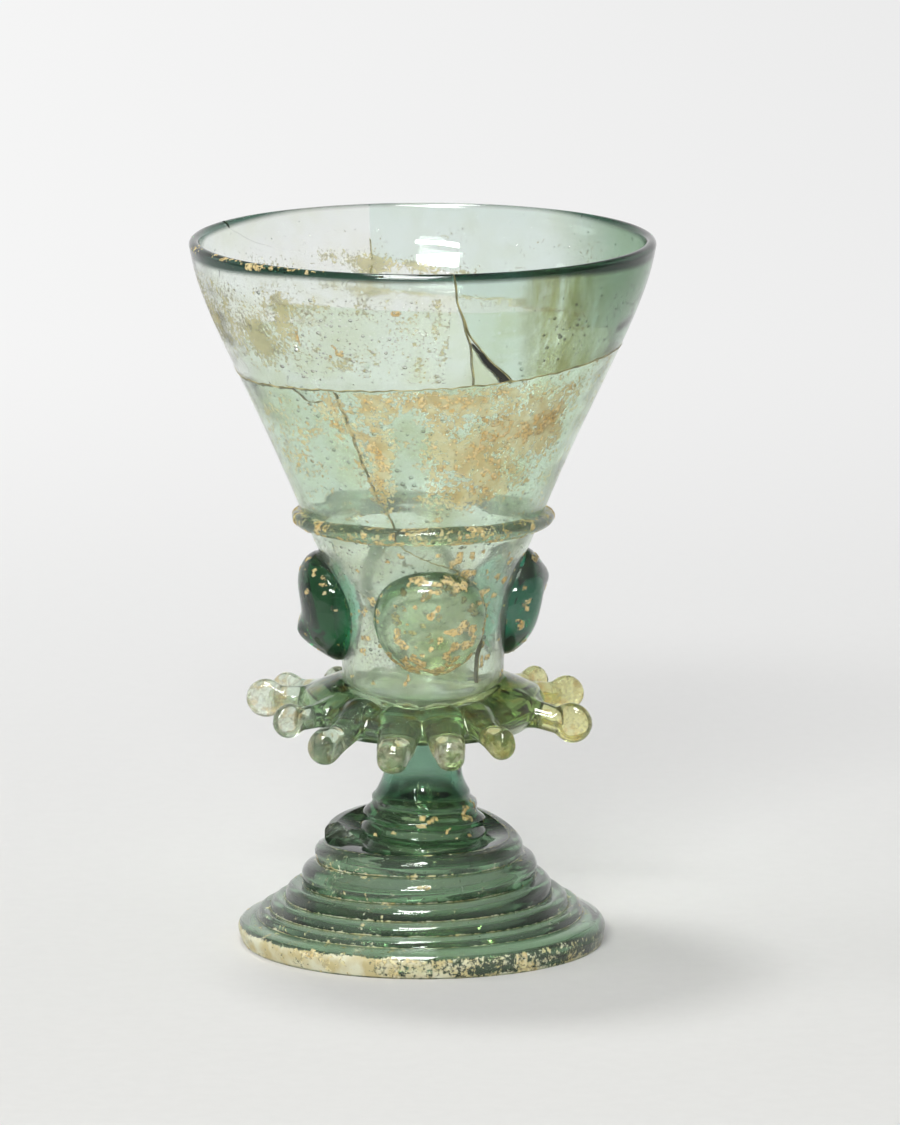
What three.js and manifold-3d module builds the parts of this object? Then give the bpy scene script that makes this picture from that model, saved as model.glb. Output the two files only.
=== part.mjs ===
// A small footed drinking glass: a funnel bowl on a short cup with four prunts, a collar pinched
// into toes, a hollow stem and a foot wound from one thread of glass. The rim broke and was mended.
// Millimetres, +Z up. The origin is on the glass's axis, on the table. A bearing is an angle in
// degrees round that axis: 0 looks out of the front (-Y) and 90 out of the right side (+X).
import * as THREE from 'three';
import { mergeVertices } from 'three/addons/utils/BufferGeometryUtils.js';
import Module from 'manifold-3d';

// Heights above the table
const LIP_TOP = 95.2;
const WAIST_HEIGHT = 54;
const CUP_UNDERSIDE = 32;
const LEDGE_HEIGHT = 13.7;

// The blown wall
const LIP_RADIUS = 31;
const LIP_THICKNESS = 1.5;
const LIP_THICKENING = 3;
const WAIST_RADIUS = 14.25;
const FUNNEL_BOW = 1;
const CUP_RADIUS = 10.75;
const CUP_CORNER = 4;
const WALL = 1.2;
const CUP_FLOOR = 1.7;

// The mended breaks: [bearing, height as a share of the funnel from its waist to its lip]
const MAIN_BREAK = [
  [-180, 0.667], [-135, 0.707], [-105, 0.66], [-77, 0.585], [-28, 0.607], [27, 0.639], [79, 0.677],
  [130, 0.672],
];
const REAR_BREAK = [
  [-238, 0.66], [-230, 0.672], [-190, 0.79], [-160, 0.845], [-146, 0.872], [-130, 0.93], [-118, 1],
];
const REAR_BREAK_BEARING = -166;
const REAR_POINT_ANGLE = 4;
const TONGUE_BEARING = -222;
const BREAK_GAP = 0.36;
// The front break's two edges: [share of the height from the main break to the lip, bearing]
const FRONT_BREAK_LEFT = [[0, 15.1], [0.21, 13.9], [0.4, 12.5], [0.52, 11.1], [0.83, 8.3], [1, 7.7]];
const FRONT_BREAK_RIGHT = [
  [0, 27.2], [0.07, 24.6], [0.23, 18.7], [0.4, 13.8], [0.52, 11.6], [0.83, 8.3], [1, 7.7],
];
// The fill between those edges: how far up it goes, its seam on the left, and the wedge left open on
// its right, which is wide at the main break and narrow at the fill's top
const FILL_TOP = 0.4;
const FILL_SEAM = 0.43;
const OPEN_WEDGE_LOW = 2.24;
const OPEN_WEDGE_TOP = 0.49;

// The trail laid round the waist
const TRAIL_ABOVE_WAIST = 3.5;
const TRAIL_HEIGHT = WAIST_HEIGHT + TRAIL_ABOVE_WAIST;
const TRAIL_DEPTH = 2.5;
const TRAIL_PROUD = 1.3;
const TRAIL_TILT = 0.35;

// The pinched collar round the cup's base: a skirt that climbs the cup higher at its two sides than
// in front and slopes down to a rounded edge
const COLLAR_RISE = 3.2;
const COLLAR_DROP = 2.7;
const COLLAR_SADDLE = 1.2;
const COLLAR_TOP = CUP_UNDERSIDE + COLLAR_RISE;
const COLLAR_BOTTOM = CUP_UNDERSIDE - COLLAR_DROP;
const COLLAR_RADIUS = 16.4;
const COLLAR_EDGE = 0.9;
const SHOULDER_DROP = 1.9;
// Shares of the skirt's section: its flat underside, its side's two corners on the way up to the
// shoulder, and the corner in its upper slope, out from the cup and up from the shoulder
const SKIRT_FLAT = 0.75;
const SKIRT_SIDE = [0.4, 0.7];
const SKIRT_SLOPE = [0.4, 0.6];
// The toes drawn out of the skirt. Each has an arm that narrows to a neck, and a pad on edge
const TOE_RISE = 0.5;
const TOE_HEIGHT = CUP_UNDERSIDE + TOE_RISE;
const TOE_START = 12.5;
const TOE_REACH = 20.9;
const TOE_ROOT_HEIGHT = 5.2;
const TOE_ROOT_WIDTH = 7;
const TOE_NECK_HEIGHT = 3.3;
const TOE_NECK_SPREAD = 0.6;
const TOE_NECK_BACK = 1.5;
const TOE_PAD_HEIGHT = 5;
const TOE_PAD_WIDTH = 3;
const TOE_DROOP = 3.2;
const TOE_PRINT = 0.4;
const TOE_PRINT_START = -0.6;
// Where each toe points, and its droop, its size and its pad's width as shares of the named ones
const TOES = [
  [-94, -0.06, 1.05, 1], [-58.5, 0.12, 0.95, 1], [-38, 0.84, 1, 1.5], [-11, 1, 0.95, 1.8],
  [10, 0.88, 0.95, 1.65], [30, 0.62, 0.9, 1.4], [69.5, 0.44, 1.1, 1.05], [113, 0.19, 1, 1],
  [134, 0.12, 0.95, 1], [160, 0.25, 1, 1.15], [187, 0.5, 1, 1.5], [213, 0.38, 1, 1.35], [240, 0.19, 1, 1],
];

// The prunts: blobs of glass pressed on the cup between the collar and the trail, clear of both by a
// few millimetres, each drawn out to a small nib
const PRUNT_ABOVE_COLLAR = 1.8;
const PRUNT_BELOW_TRAIL = 3.1;
const PRUNT_LOW = COLLAR_TOP + COLLAR_SADDLE + PRUNT_ABOVE_COLLAR;
const PRUNT_HIGH = TRAIL_HEIGHT - TRAIL_DEPTH / 2 - TRAIL_TILT - PRUNT_BELOW_TRAIL;
const PRUNT_HEIGHT = (PRUNT_HIGH + PRUNT_LOW) / 2;
const PRUNT_HALF_HEIGHT = (PRUNT_HIGH - PRUNT_LOW) / 2;
const PRUNT_HALF_WIDTH = 7.3;
const PRUNT_PROUD = 4.5;
const PRUNT_EDGE = 0.7;
const PRUNT_ROUNDING = 3;
const PRUNT_FULLNESS = 0.8;
const NIB_RADIUS = 2;
const NIB_PROUD = 1.3;
const PRUNTS = [
  { name: 'prunt_front', bearing: 5, nib: -3.6 },
  { name: 'prunt_right', bearing: 112, nib: 3 },
  { name: 'prunt_rear', bearing: 190, nib: -3.4 },
  { name: 'prunt_left', bearing: -92, nib: -3.6 },
];

// The hollow stem
const STEM_TOP_RADIUS = 7.4;
const STEM_WAIST_RADIUS = 5.2;
const STEM_WAIST_HEIGHT = 23.7;
const STEM_BELL_RADIUS = 8.3;
const STEM_BELL_HEIGHT = 15.4;
const STEM_WALL = 1.5;
const STEM_CHAMFER = 0.5;

// The foot's thread: [turns from its start, radius, height] of the groove above each turn. The
// first turn climbs behind the stem, and the last thins out under the rim at the back.
const GROOVE = [
  [0, 11.4, 15.8], [0.24, 10.2, 17.3], [0.5, 11.4, 14.3], [0.74, 11.9, 14.1], [1, 13.2, 13.5],
  [1.5, 13.5, 11.9], [2, 14.2, 10.9], [2.74, 15.4, 8.1], [4, 18.6, 5.8], [5, 20.6, 4.4],
  [6, 22.3, 3.3], [6.12, 22.5, 3.2], [6.4, 24.1, 0], [7, 24.1, 0],
];
const THREAD_TURNS = 7;
const THREAD_START = -95;
const THREAD_BULGE = 0.3;
const RIM_BULGE = 0.46;
const REST_RADIUS = 24.1;
const REST_WIDTH = 1.4;
const FOOT_WALL = 2.2;
const HOLLOW_DROP = 0.9;
const THROAT_RADIUS = 6.2;
const STEM_SOCKET_RADIUS = 8.9;

// The parting gap between a piece and the one that it was dropped on while hot
const SEAT_GAP = 0.3;

// Facets
const WALL_COLUMNS = 40;
const CORNER_ROWS = 3;
const CUP_ROWS = 5;
const FUNNEL_ROWS = 4;
const SHARD_STEP = 7;
const SHARD_ROWS = 5;
const CAP_ANGLES = [45, 90, 135];
const TRAIL_ROWS = 6;
const PRUNT_SPOKES = 20;
const PRUNT_RINGS = 6;
const TOE_SIDES = 10;
const PAD_STATIONS = [-0.85, -0.4, 0.1, 0.6, 0.9, 1];
const STEM_COLUMNS = 32;
const STEM_ROWS = 9;
const FOOT_COLUMNS = 40;
const THREAD_ROWS = 4;
const HOLLOW_ROWS = 5;
const EPSILON = 1e-4;

const LIP_HEIGHT = LIP_TOP - LIP_THICKNESS / 2;
const CUP_CORNER_HEIGHT = CUP_UNDERSIDE + CUP_CORNER;
const FULL_TURN = 360;

const mix = (a, b, share) => a + (b - a) * share;
const smooth = (share) => {
  const t = Math.min(1, Math.max(0, share));
  return t * t * (3 - 2 * t);
};
const steps = (count) => Array.from({ length: count + 1 }, (_, i) => i / count);
const around = (count) => steps(count).slice(0, -1).map((share) => FULL_TURN * share);
const radians = THREE.MathUtils.degToRad;
const degrees = (length, radius) => THREE.MathUtils.radToDeg(length / radius);
const place = (bearing, radius, height) => {
  const angle = radians(bearing);
  return new THREE.Vector3(radius * Math.sin(angle), -radius * Math.cos(angle), height);
};

// A smooth curve y(x) through a few points that never swings past them: each point's slope is the
// harmonic mean of the slopes on its two sides, and level where they disagree.
function curve(points) {
  const rises = points.slice(1).map(([x, y], i) => (y - points[i][1]) / (x - points[i][0]));
  const slope = points.map((_, i) => {
    const before = rises[Math.max(0, i - 1)];
    const after = rises[Math.min(rises.length - 1, i)];
    return before * after > 0 ? 2 / (1 / before + 1 / after) : 0;
  });
  return (x) => {
    let i = points.findIndex((p) => p[0] >= x);
    if (i < 1) i = x > points[0][0] ? points.length - 1 : 1;
    const [x0, y0] = points[i - 1];
    const [x1, y1] = points[i];
    const w = x1 - x0;
    const t = Math.min(1, Math.max(0, (x - x0) / w));
    const bend = w * t * (1 - t) * (slope[i - 1] * (1 - t) - slope[i] * t);
    return mix(y0, y1, smooth(t)) + bend;
  };
}

// A closed solid from loops of points set side by side. A ring joins its last loop to the first;
// otherwise the two end loops are closed by strips from one half of the loop to the other.
function loft(loops, ring) {
  const size = loops[0].length;
  const triangles = [];
  const quad = (a, b, c, d) => triangles.push([a, b, c], [a, c, d]);
  const last = ring ? loops.length : loops.length - 1;
  for (let j = 0; j < last; j += 1) {
    const here = j * size;
    const next = ((j + 1) % loops.length) * size;
    for (let i = 0; i < size; i += 1) {
      const up = (i + 1) % size;
      quad(here + i, next + i, next + up, here + up);
    }
  }
  if (!ring) {
    const end = (loops.length - 1) * size;
    for (let i = 0; i < Math.floor(size / 2); i += 1) {
      quad(i, i + 1, size - 2 - i, size - 1 - i);
      quad(end + size - 1 - i, end + size - 2 - i, end + i + 1, end + i);
    }
  }
  return solid(loops.flat(), triangles);
}

// Points and triangles as a geometry with shared vertices, no empty triangles and faces pointing out.
function solid(points, triangles) {
  const raw = new THREE.BufferGeometry();
  const places = points.flatMap((p) => p.toArray());
  raw.setAttribute('position', new THREE.Float32BufferAttribute(places, 3));
  raw.setIndex(triangles.flat());
  const geometry = mergeVertices(raw, EPSILON);
  const index = Array.from(geometry.getIndex().array);
  const kept = [];
  for (let i = 0; i < index.length; i += 3) {
    const [a, b, c] = index.slice(i, i + 3);
    if (a !== b && b !== c && c !== a) kept.push(a, b, c);
  }
  const corner = (i) => new THREE.Vector3().fromBufferAttribute(geometry.getAttribute('position'), i);
  let volume = 0;
  for (let i = 0; i < kept.length; i += 3) {
    volume += corner(kept[i]).dot(corner(kept[i + 1]).cross(corner(kept[i + 2])));
  }
  geometry.setIndex(volume < 0 ? kept.reverse() : kept);
  return geometry;
}

// The outside of the blown wall: a straight funnel bowed out a little near its lip, over a cup
// that narrows downwards and is rounded in to a flat underside.
const BOW_POWER = 3.5;
const BOW_PEAK = (BOW_POWER / (BOW_POWER + 1)) ** BOW_POWER / (BOW_POWER + 1);
function outerRadius(z) {
  if (z >= WAIST_HEIGHT) {
    const u = Math.min(1, (z - WAIST_HEIGHT) / (LIP_HEIGHT - WAIST_HEIGHT));
    return mix(WAIST_RADIUS, LIP_RADIUS, u) + (FUNNEL_BOW * u ** BOW_POWER * (1 - u)) / BOW_PEAK;
  }
  const v = Math.max(0, (z - CUP_UNDERSIDE) / (WAIST_HEIGHT - CUP_UNDERSIDE));
  const side = mix(CUP_RADIUS, WAIST_RADIUS, v ** 3);
  const below = Math.min(CUP_CORNER, Math.max(0, CUP_CORNER_HEIGHT - z));
  return side - CUP_CORNER + Math.sqrt(CUP_CORNER ** 2 - below ** 2);
}
const thickness = (z) => mix(WALL, LIP_THICKNESS, smooth(1 - (LIP_HEIGHT - z) / LIP_THICKENING));
const funnelHeight = (share) => mix(WAIST_HEIGHT, LIP_HEIGHT, share);

// The breaks as heights at any bearing. The curve of the main break runs once round the wall.
const wrapped = [
  ...MAIN_BREAK.slice(-2).map(([bearing, share]) => [bearing - FULL_TURN, share]),
  ...MAIN_BREAK,
  ...MAIN_BREAK.slice(0, 3).map(([bearing, share]) => [bearing + FULL_TURN, share]),
];
const mainCurve = curve(wrapped);
const rearCurve = curve(REAR_BREAK);
const turned = (bearing, from) => bearing - FULL_TURN * Math.floor((bearing - from) / FULL_TURN);
const mainBreak = (bearing) => funnelHeight(mainCurve(turned(bearing, -180)));
const rearBreak = (bearing) => funnelHeight(rearCurve(turned(bearing, -300)));
const frontLeft = curve(FRONT_BREAK_LEFT);
const frontRight = curve(FRONT_BREAK_RIGHT);

// One upright section through a piece of wall. The top is the rounded lip or a square broken edge.
function wallLoop(bearingAt, low, top, round) {
  const outside = steps(SHARD_ROWS).map((v) => {
    const z = mix(low, top, v);
    return { v, z, radius: outerRadius(z) };
  });
  const inside = outside.map(({ v, z, radius }) => ({ v, z, radius: radius - thickness(z) }));
  const half = thickness(top) / 2;
  const cap = CAP_ANGLES.map((angle) => {
    const lift = round ? half * Math.sin(radians(angle)) : 0;
    return { v: 1, z: top + lift, radius: outerRadius(top) - half + half * Math.cos(radians(angle)) };
  });
  const loop = [...outside, ...cap, ...inside.reverse()];
  return loop.map(({ v, z, radius }) => place(bearingAt(v), radius, z));
}

// A piece of the broken rim between two edges, each a bearing that depends on the height share v.
function shard(firstEdge, lastEdge, lowAt, topAt) {
  const span = Math.abs(lastEdge(0) - firstEdge(0));
  const columns = Math.max(3, Math.round(span / SHARD_STEP));
  const loops = steps(columns).map((u) => {
    const bearingAt = (v) => mix(firstEdge(v), lastEdge(v), u);
    const top = topAt(bearingAt(1));
    return wallLoop(bearingAt, lowAt(bearingAt(0)), top, top >= LIP_HEIGHT - EPSILON);
  });
  return loft(loops, false);
}

// The cup and the lower funnel: one blown wall that ends above at the main break.
function bowlBody() {
  const innerCorner = CUP_CORNER - WALL;
  const innerFloor = CUP_UNDERSIDE + CUP_FLOOR;
  const innerRadius = outerRadius(CUP_CORNER_HEIGHT) - WALL;
  const quarter = steps(CORNER_ROWS).map((share) => share * Math.PI / 2);
  const loops = around(WALL_COLUMNS).map((bearing) => {
    const top = mainBreak(bearing) - BREAK_GAP / 2;
    const side = [
      ...steps(CUP_ROWS).map((t) => mix(CUP_CORNER_HEIGHT, WAIST_HEIGHT, t)),
      ...steps(FUNNEL_ROWS).map((t) => mix(TRAIL_HEIGHT, top, t)),
    ];
    const corner = quarter.slice(1, -1).map((a) => CUP_CORNER_HEIGHT - CUP_CORNER * Math.cos(a));
    const cornerIn = quarter.slice(1).map((a) => place(
      bearing,
      innerRadius - innerCorner * (1 - Math.cos(a)),
      mix(CUP_CORNER_HEIGHT, innerFloor, Math.sin(a)),
    ));
    return [
      place(bearing, 0, CUP_UNDERSIDE),
      place(bearing, CUP_RADIUS - CUP_CORNER, CUP_UNDERSIDE),
      ...[...corner, ...side].map((z) => place(bearing, outerRadius(z), z)),
      ...side.reverse().map((z) => place(bearing, outerRadius(z) - thickness(z), z)),
      ...cornerIn,
      place(bearing, 0, innerFloor),
    ];
  });
  return loft(loops, true);
}

// A thread laid once round the waist, flattened against the wall and a little higher in front.
function collarTrail() {
  const half = TRAIL_DEPTH / 2;
  const loops = around(WALL_COLUMNS).map((bearing) => {
    const middle = TRAIL_HEIGHT + TRAIL_TILT * Math.cos(radians(bearing));
    const outside = steps(TRAIL_ROWS).map((t) => {
      const angle = mix(-Math.PI / 2, Math.PI / 2, t);
      const z = middle + half * Math.sin(angle);
      return place(bearing, outerRadius(z) + SEAT_GAP * 2 + TRAIL_PROUD * Math.cos(angle), z);
    });
    const inside = [half, 0, -half].map((rise) => {
      const z = middle + rise;
      return place(bearing, outerRadius(z) + SEAT_GAP, z);
    });
    return [...outside, ...inside];
  });
  return loft(loops, true);
}

// A prunt: a round pad on the cup, seen face on as a disc of rings and spokes.
function prunt({ bearing, nib }) {
  const loops = around(PRUNT_SPOKES).map((spoke) => {
    const at = (share, lift) => {
      const across = PRUNT_HALF_WIDTH * share * Math.cos(radians(spoke));
      const z = PRUNT_HEIGHT + PRUNT_HALF_HEIGHT * share * Math.sin(radians(spoke));
      const seat = outerRadius(z) + SEAT_GAP;
      return place(bearing + degrees(across, outerRadius(PRUNT_HEIGHT)), seat + lift(across, z), z);
    };
    const face = (share) => (across, z) => {
      const dome = mix(PRUNT_EDGE, PRUNT_PROUD, (1 - share ** PRUNT_ROUNDING) ** PRUNT_FULLNESS);
      const fromNib = Math.hypot(across, z - PRUNT_HEIGHT - nib) / NIB_RADIUS;
      return dome + NIB_PROUD * Math.exp(-(fromNib ** 2)) * smooth(4 * (1 - share));
    };
    const back = steps(PRUNT_RINGS).map((share) => at(share, () => 0));
    const front = steps(PRUNT_RINGS).map((share) => at(share, face(share))).reverse();
    return [...back, ...front];
  });
  return loft(loops, true);
}

// One toe of the collar: an arm pulled out of the skirt and ending in a round pad that stands on
// edge, with the pincers' print in both its sides. Its sections stand across its path. A share is a
// distance out from the pad's centre in pad radii.
function toe([bearing, droop, scale, width]) {
  const padWidth = width * TOE_PAD_WIDTH;
  const pad = (TOE_PAD_HEIGHT * scale) / 2;
  const centre = TOE_REACH + TOE_PAD_HEIGHT * (scale - 1) / 2;
  const neck = centre - pad * TOE_NECK_BACK;
  const stations = [TOE_START, mix(TOE_START, neck, 0.5), neck];
  stations.push(...PAD_STATIONS.map((share) => centre + pad * share));
  const loops = stations.map((radius) => {
    const share = (radius - centre) / pad;
    const circle = Math.sqrt(Math.max(0, 1 - share ** 2));
    const along = smooth((radius - TOE_START) / (neck - TOE_START));
    const arm = mix(TOE_ROOT_HEIGHT, TOE_NECK_HEIGHT, along) * scale / 2;
    const web = mix(TOE_ROOT_WIDTH, padWidth + TOE_NECK_SPREAD, along);
    const high = share > 0 ? pad * circle : Math.max(arm, pad * circle);
    const taper = share > 0 ? Math.sqrt(circle) : 1;
    const wide = taper * scale * mix(web, padWidth, smooth((radius - neck) / pad)) / 2;
    const print = share > TOE_PRINT_START ? TOE_PRINT * circle : 0;
    const sag = droop * TOE_DROOP * smooth((radius - TOE_START) / (centre - TOE_START));
    return around(TOE_SIDES).map((turn) => {
      const angle = radians(turn + FULL_TURN / TOE_SIDES / 2);
      const side = Math.cos(angle);
      const across = wide * side - Math.sign(side) * print * side ** 4;
      const spot = place(bearing, radius, TOE_HEIGHT - sag + high * Math.sin(angle));
      return spot.add(place(bearing + 90, across, 0));
    });
  });
  return loft(loops, false);
}

// The collar's skirt: a ring of glass dropped round the cup's base, which slopes down and out.
function collarSkirt() {
  const underside = STEM_TOP_RADIUS + SEAT_GAP * 2;
  const loops = around(WALL_COLUMNS).map((bearing) => {
    const top = COLLAR_TOP - COLLAR_SADDLE * Math.cos(2 * radians(bearing));
    const shoulder = top - SHOULDER_DROP;
    const seat = [0, 0.25, 0.5].map((share) => {
      const z = Math.max(mix(top, COLLAR_BOTTOM, share), CUP_UNDERSIDE + SEAT_GAP * 4);
      return [outerRadius(z) + SEAT_GAP * 1.2, z];
    });
    const section = [
      [underside, COLLAR_BOTTOM],
      [mix(underside, COLLAR_RADIUS, SKIRT_FLAT), COLLAR_BOTTOM],
      [COLLAR_RADIUS - COLLAR_EDGE / 2, mix(COLLAR_BOTTOM, shoulder, SKIRT_SIDE[0])],
      [COLLAR_RADIUS, mix(COLLAR_BOTTOM, shoulder, SKIRT_SIDE[1])],
      [COLLAR_RADIUS - COLLAR_EDGE, shoulder],
      [mix(CUP_RADIUS, COLLAR_RADIUS, SKIRT_SLOPE[0]), mix(shoulder, top, SKIRT_SLOPE[1])],
      ...seat,
      [underside, CUP_UNDERSIDE - SEAT_GAP],
    ];
    return section.map(([radius, z]) => place(bearing, radius, z));
  });
  return loft(loops, true);
}

const wasm = await Module();
wasm.setup();
const asManifold = (geometry) => new wasm.Manifold(new wasm.Mesh({
  numProp: 3,
  vertProperties: new Float32Array(geometry.getAttribute('position').array),
  triVerts: new Uint32Array(geometry.getIndex().array),
}));

// The collar: the skirt and its toes joined to one solid.
function pinceredCollar() {
  let joined = asManifold(collarSkirt());
  for (const each of TOES) joined = joined.add(asManifold(toe(each)));
  const { vertProperties, triVerts } = joined.getMesh();
  const geometry = new THREE.BufferGeometry();
  geometry.setAttribute('position', new THREE.Float32BufferAttribute(vertProperties, 3));
  geometry.setIndex(Array.from(triVerts));
  return geometry;
}

// The stem: a hollow neck, narrow under the cup and belled out over the foot, open at both ends.
function stem() {
  const top = CUP_UNDERSIDE - SEAT_GAP;
  const low = LEDGE_HEIGHT + SEAT_GAP;
  const radiusAt = (z) => {
    const rise = Math.max(0, (z - STEM_WAIST_HEIGHT) / (top - STEM_WAIST_HEIGHT));
    const fall = smooth((STEM_WAIST_HEIGHT - z) / (STEM_WAIST_HEIGHT - STEM_BELL_HEIGHT));
    const upper = mix(STEM_WAIST_RADIUS, STEM_TOP_RADIUS, rise ** 2);
    return upper + (STEM_BELL_RADIUS - STEM_WAIST_RADIUS) * fall;
  };
  const heights = steps(STEM_ROWS).map((t) => mix(STEM_BELL_HEIGHT, top, t));
  const loops = around(STEM_COLUMNS).map((bearing) => [
    place(bearing, STEM_BELL_RADIUS - STEM_CHAMFER, low),
    ...heights.map((z) => place(bearing, radiusAt(z), z)),
    ...heights.map((z) => place(bearing, radiusAt(z) - STEM_WALL, z)).reverse(),
    place(bearing, STEM_BELL_RADIUS - STEM_WALL, low),
  ]);
  return loft(loops, true);
}

// The foot: a thread wound downwards round a hollow cone, each turn fused to the one above.
// The groove's curve gives each turn's upper edge, and one turn later its lower edge.
const grooveRadius = curve(GROOVE.map(([turn, radius]) => [turn, radius]));
const grooveHeight = curve(GROOVE.map(([turn, , height]) => [turn, height]));
function threadPoint(turn, across) {
  const start = new THREE.Vector2(grooveRadius(turn), grooveHeight(turn));
  const next = Math.min(THREAD_TURNS, turn + 1);
  const end = new THREE.Vector2(grooveRadius(next), grooveHeight(next));
  const chord = end.clone().sub(start);
  const bulge = mix(THREAD_BULGE, RIM_BULGE, smooth(turn - (THREAD_TURNS - 2)));
  const out = new THREE.Vector2(-chord.y, chord.x).multiplyScalar(bulge * Math.sin(Math.PI * across));
  return start.lerp(end, across).add(out);
}
function foot() {
  const rows = THREAD_TURNS * THREAD_ROWS;
  const ledge = [[THROAT_RADIUS, LEDGE_HEIGHT], [STEM_SOCKET_RADIUS, LEDGE_HEIGHT]];
  const rest = [[REST_RADIUS, 0], [REST_RADIUS - REST_WIDTH, 0]];
  const hollow = steps(HOLLOW_ROWS).slice(0, -1).map((t) => {
    const turn = mix(THREAD_TURNS - 1, 1, t);
    return [grooveRadius(turn) - FOOT_WALL, grooveHeight(turn) - HOLLOW_DROP];
  });
  const throat = [THROAT_RADIUS, LEDGE_HEIGHT - FOOT_WALL];
  const points = around(FOOT_COLUMNS).flatMap((angle) => {
    const part = angle / FULL_TURN;
    const thread = steps(rows).slice(0, -1).map((share) => {
      const turn = share * THREAD_TURNS;
      const whole = Math.floor(turn + EPSILON);
      return threadPoint(part + whole, turn - whole).toArray();
    });
    const section = [...ledge, ...thread, ...rest, ...hollow, throat];
    return section.map(([radius, height]) => place(THREAD_START - angle, radius, height));
  });
  const size = points.length / FOOT_COLUMNS;
  const triangles = [];
  const quad = (a, b, c, d) => triangles.push([a, b, c], [a, c, d]);
  for (let j = 0; j < FOOT_COLUMNS - 1; j += 1) {
    for (let i = 0; i < size; i += 1) {
      const up = (i + 1) % size;
      quad(j * size + i, j * size + up, (j + 1) * size + up, (j + 1) * size + i);
    }
  }
  // The last column meets the first one turn further down the thread, which leaves the thread's
  // blunt start standing free between them.
  const here = (FOOT_COLUMNS - 1) * size;
  const thread = ledge.length;
  for (let i = 0; i < rows; i += 1) {
    const shifted = (k) => Math.min(thread + k + THREAD_ROWS, thread + rows);
    quad(here + thread + i, here + thread + i + 1, shifted(i + 1), shifted(i));
  }
  for (let i = thread + rows; i < size; i += 1) {
    const up = (i + 1) % size;
    quad(here + i, here + up, up, i);
  }
  quad(here, here + 1, 1, 0);
  quad(here + 1, here + thread, thread + THREAD_ROWS, 1);
  for (let i = 1; i < thread + THREAD_ROWS - 1; i += 1) triangles.push([thread + THREAD_ROWS, i + 1, i]);
  return solid(points, triangles);
}

const glass = (color, roughness) => new THREE.MeshStandardMaterial({
  color,
  roughness,
  metalness: 0,
  transparent: true,
  opacity: 0.6,
});
const group = new THREE.Group();
function add(name, geometry, material) {
  geometry.computeVertexNormals();
  const mesh = new THREE.Mesh(geometry, material);
  mesh.name = name;
  group.add(mesh);
}

const halfGap = degrees(BREAK_GAP / 2, LIP_RADIUS);
const breakRadius = outerRadius(mainBreak(0));
const rearPoint = REAR_BREAK[REAR_BREAK.length - 1][0];
add('bowl_body', bowlBody(), glass(0xbcd6c8, 0.08));
add('rim_shard_left', shard(
  (v) => frontLeft(v) - halfGap,
  () => TONGUE_BEARING,
  (b) => mainBreak(b) + BREAK_GAP / 2,
  (b) => (b > rearPoint ? LIP_HEIGHT : rearBreak(b) - BREAK_GAP / 2),
), glass(0xb4d2c6, 0.08));
add('rim_shard_rear', shard(
  () => rearPoint - REAR_POINT_ANGLE,
  () => REAR_BREAK_BEARING + halfGap,
  (b) => rearBreak(b) + BREAK_GAP / 2,
  () => LIP_HEIGHT,
), glass(0xb4d2c6, 0.08));
add('rim_shard_right', shard(
  (v) => frontRight(v) + halfGap,
  () => REAR_BREAK_BEARING + FULL_TURN - halfGap,
  (b) => Math.max(mainBreak(b), b > 90 ? rearBreak(b) : 0) + BREAK_GAP / 2,
  () => LIP_HEIGHT,
), glass(0xb4d2c6, 0.08));
add('wedge_fill', shard(
  (v) => frontLeft(v * FILL_TOP) + degrees(FILL_SEAM - BREAK_GAP / 2, breakRadius),
  (v) => frontRight(v * FILL_TOP) - degrees(mix(OPEN_WEDGE_LOW, OPEN_WEDGE_TOP, v), breakRadius),
  (b) => mainBreak(b) + BREAK_GAP / 2,
  () => funnelHeight(mix(mainCurve(frontLeft(0)), 1, FILL_TOP)),
), glass(0xcdd7af, 0.4));
add('collar_trail', collarTrail(), glass(0x5f8a6e, 0.1));
for (const each of PRUNTS) add(each.name, prunt(each), glass(0x2f7a68, 0.1));
add('pincered_collar', pinceredCollar(), glass(0x4f7a4c, 0.1));
add('stem', stem(), glass(0x2f5c4a, 0.1));
add('foot', foot(), glass(0x4e7a66, 0.1));

export default group;
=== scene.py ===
# Looks of an old green stemmed glass: a funnel bowl on a prunted cup, a collar pinched into toes, a hollow
# stem and a foot wound from one thread. The sections follow the glass as it is put together.
# Sizes are in millimetres, and a bearing is in degrees: 0 is the front (-Y) and 90 the right side (+X).
import math

import bmesh
import bpy
import numpy as np
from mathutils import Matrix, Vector


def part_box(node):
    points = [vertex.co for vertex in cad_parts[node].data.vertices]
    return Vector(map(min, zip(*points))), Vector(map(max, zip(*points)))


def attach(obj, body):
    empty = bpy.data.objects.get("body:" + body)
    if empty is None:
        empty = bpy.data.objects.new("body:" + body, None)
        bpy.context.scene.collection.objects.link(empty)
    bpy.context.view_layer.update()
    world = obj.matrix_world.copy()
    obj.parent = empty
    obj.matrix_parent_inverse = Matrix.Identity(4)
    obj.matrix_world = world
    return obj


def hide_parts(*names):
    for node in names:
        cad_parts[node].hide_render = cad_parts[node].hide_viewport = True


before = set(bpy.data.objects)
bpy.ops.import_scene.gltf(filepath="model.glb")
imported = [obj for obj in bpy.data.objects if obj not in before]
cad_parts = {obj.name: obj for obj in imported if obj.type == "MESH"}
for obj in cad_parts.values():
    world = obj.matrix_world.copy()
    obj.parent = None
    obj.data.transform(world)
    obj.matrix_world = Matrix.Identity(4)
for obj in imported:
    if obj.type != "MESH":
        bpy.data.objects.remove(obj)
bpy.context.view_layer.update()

# The blown wall. One bubble of thin green glass, opened into a funnel over a short cup with a flat floor.
# The rim has broken away, so this piece ends above at the main break, which runs once round the funnel.
MM = 0.001
LIP_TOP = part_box("rim_shard_left")[1].z / MM
CUP_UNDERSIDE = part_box("bowl_body")[0].z / MM
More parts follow.
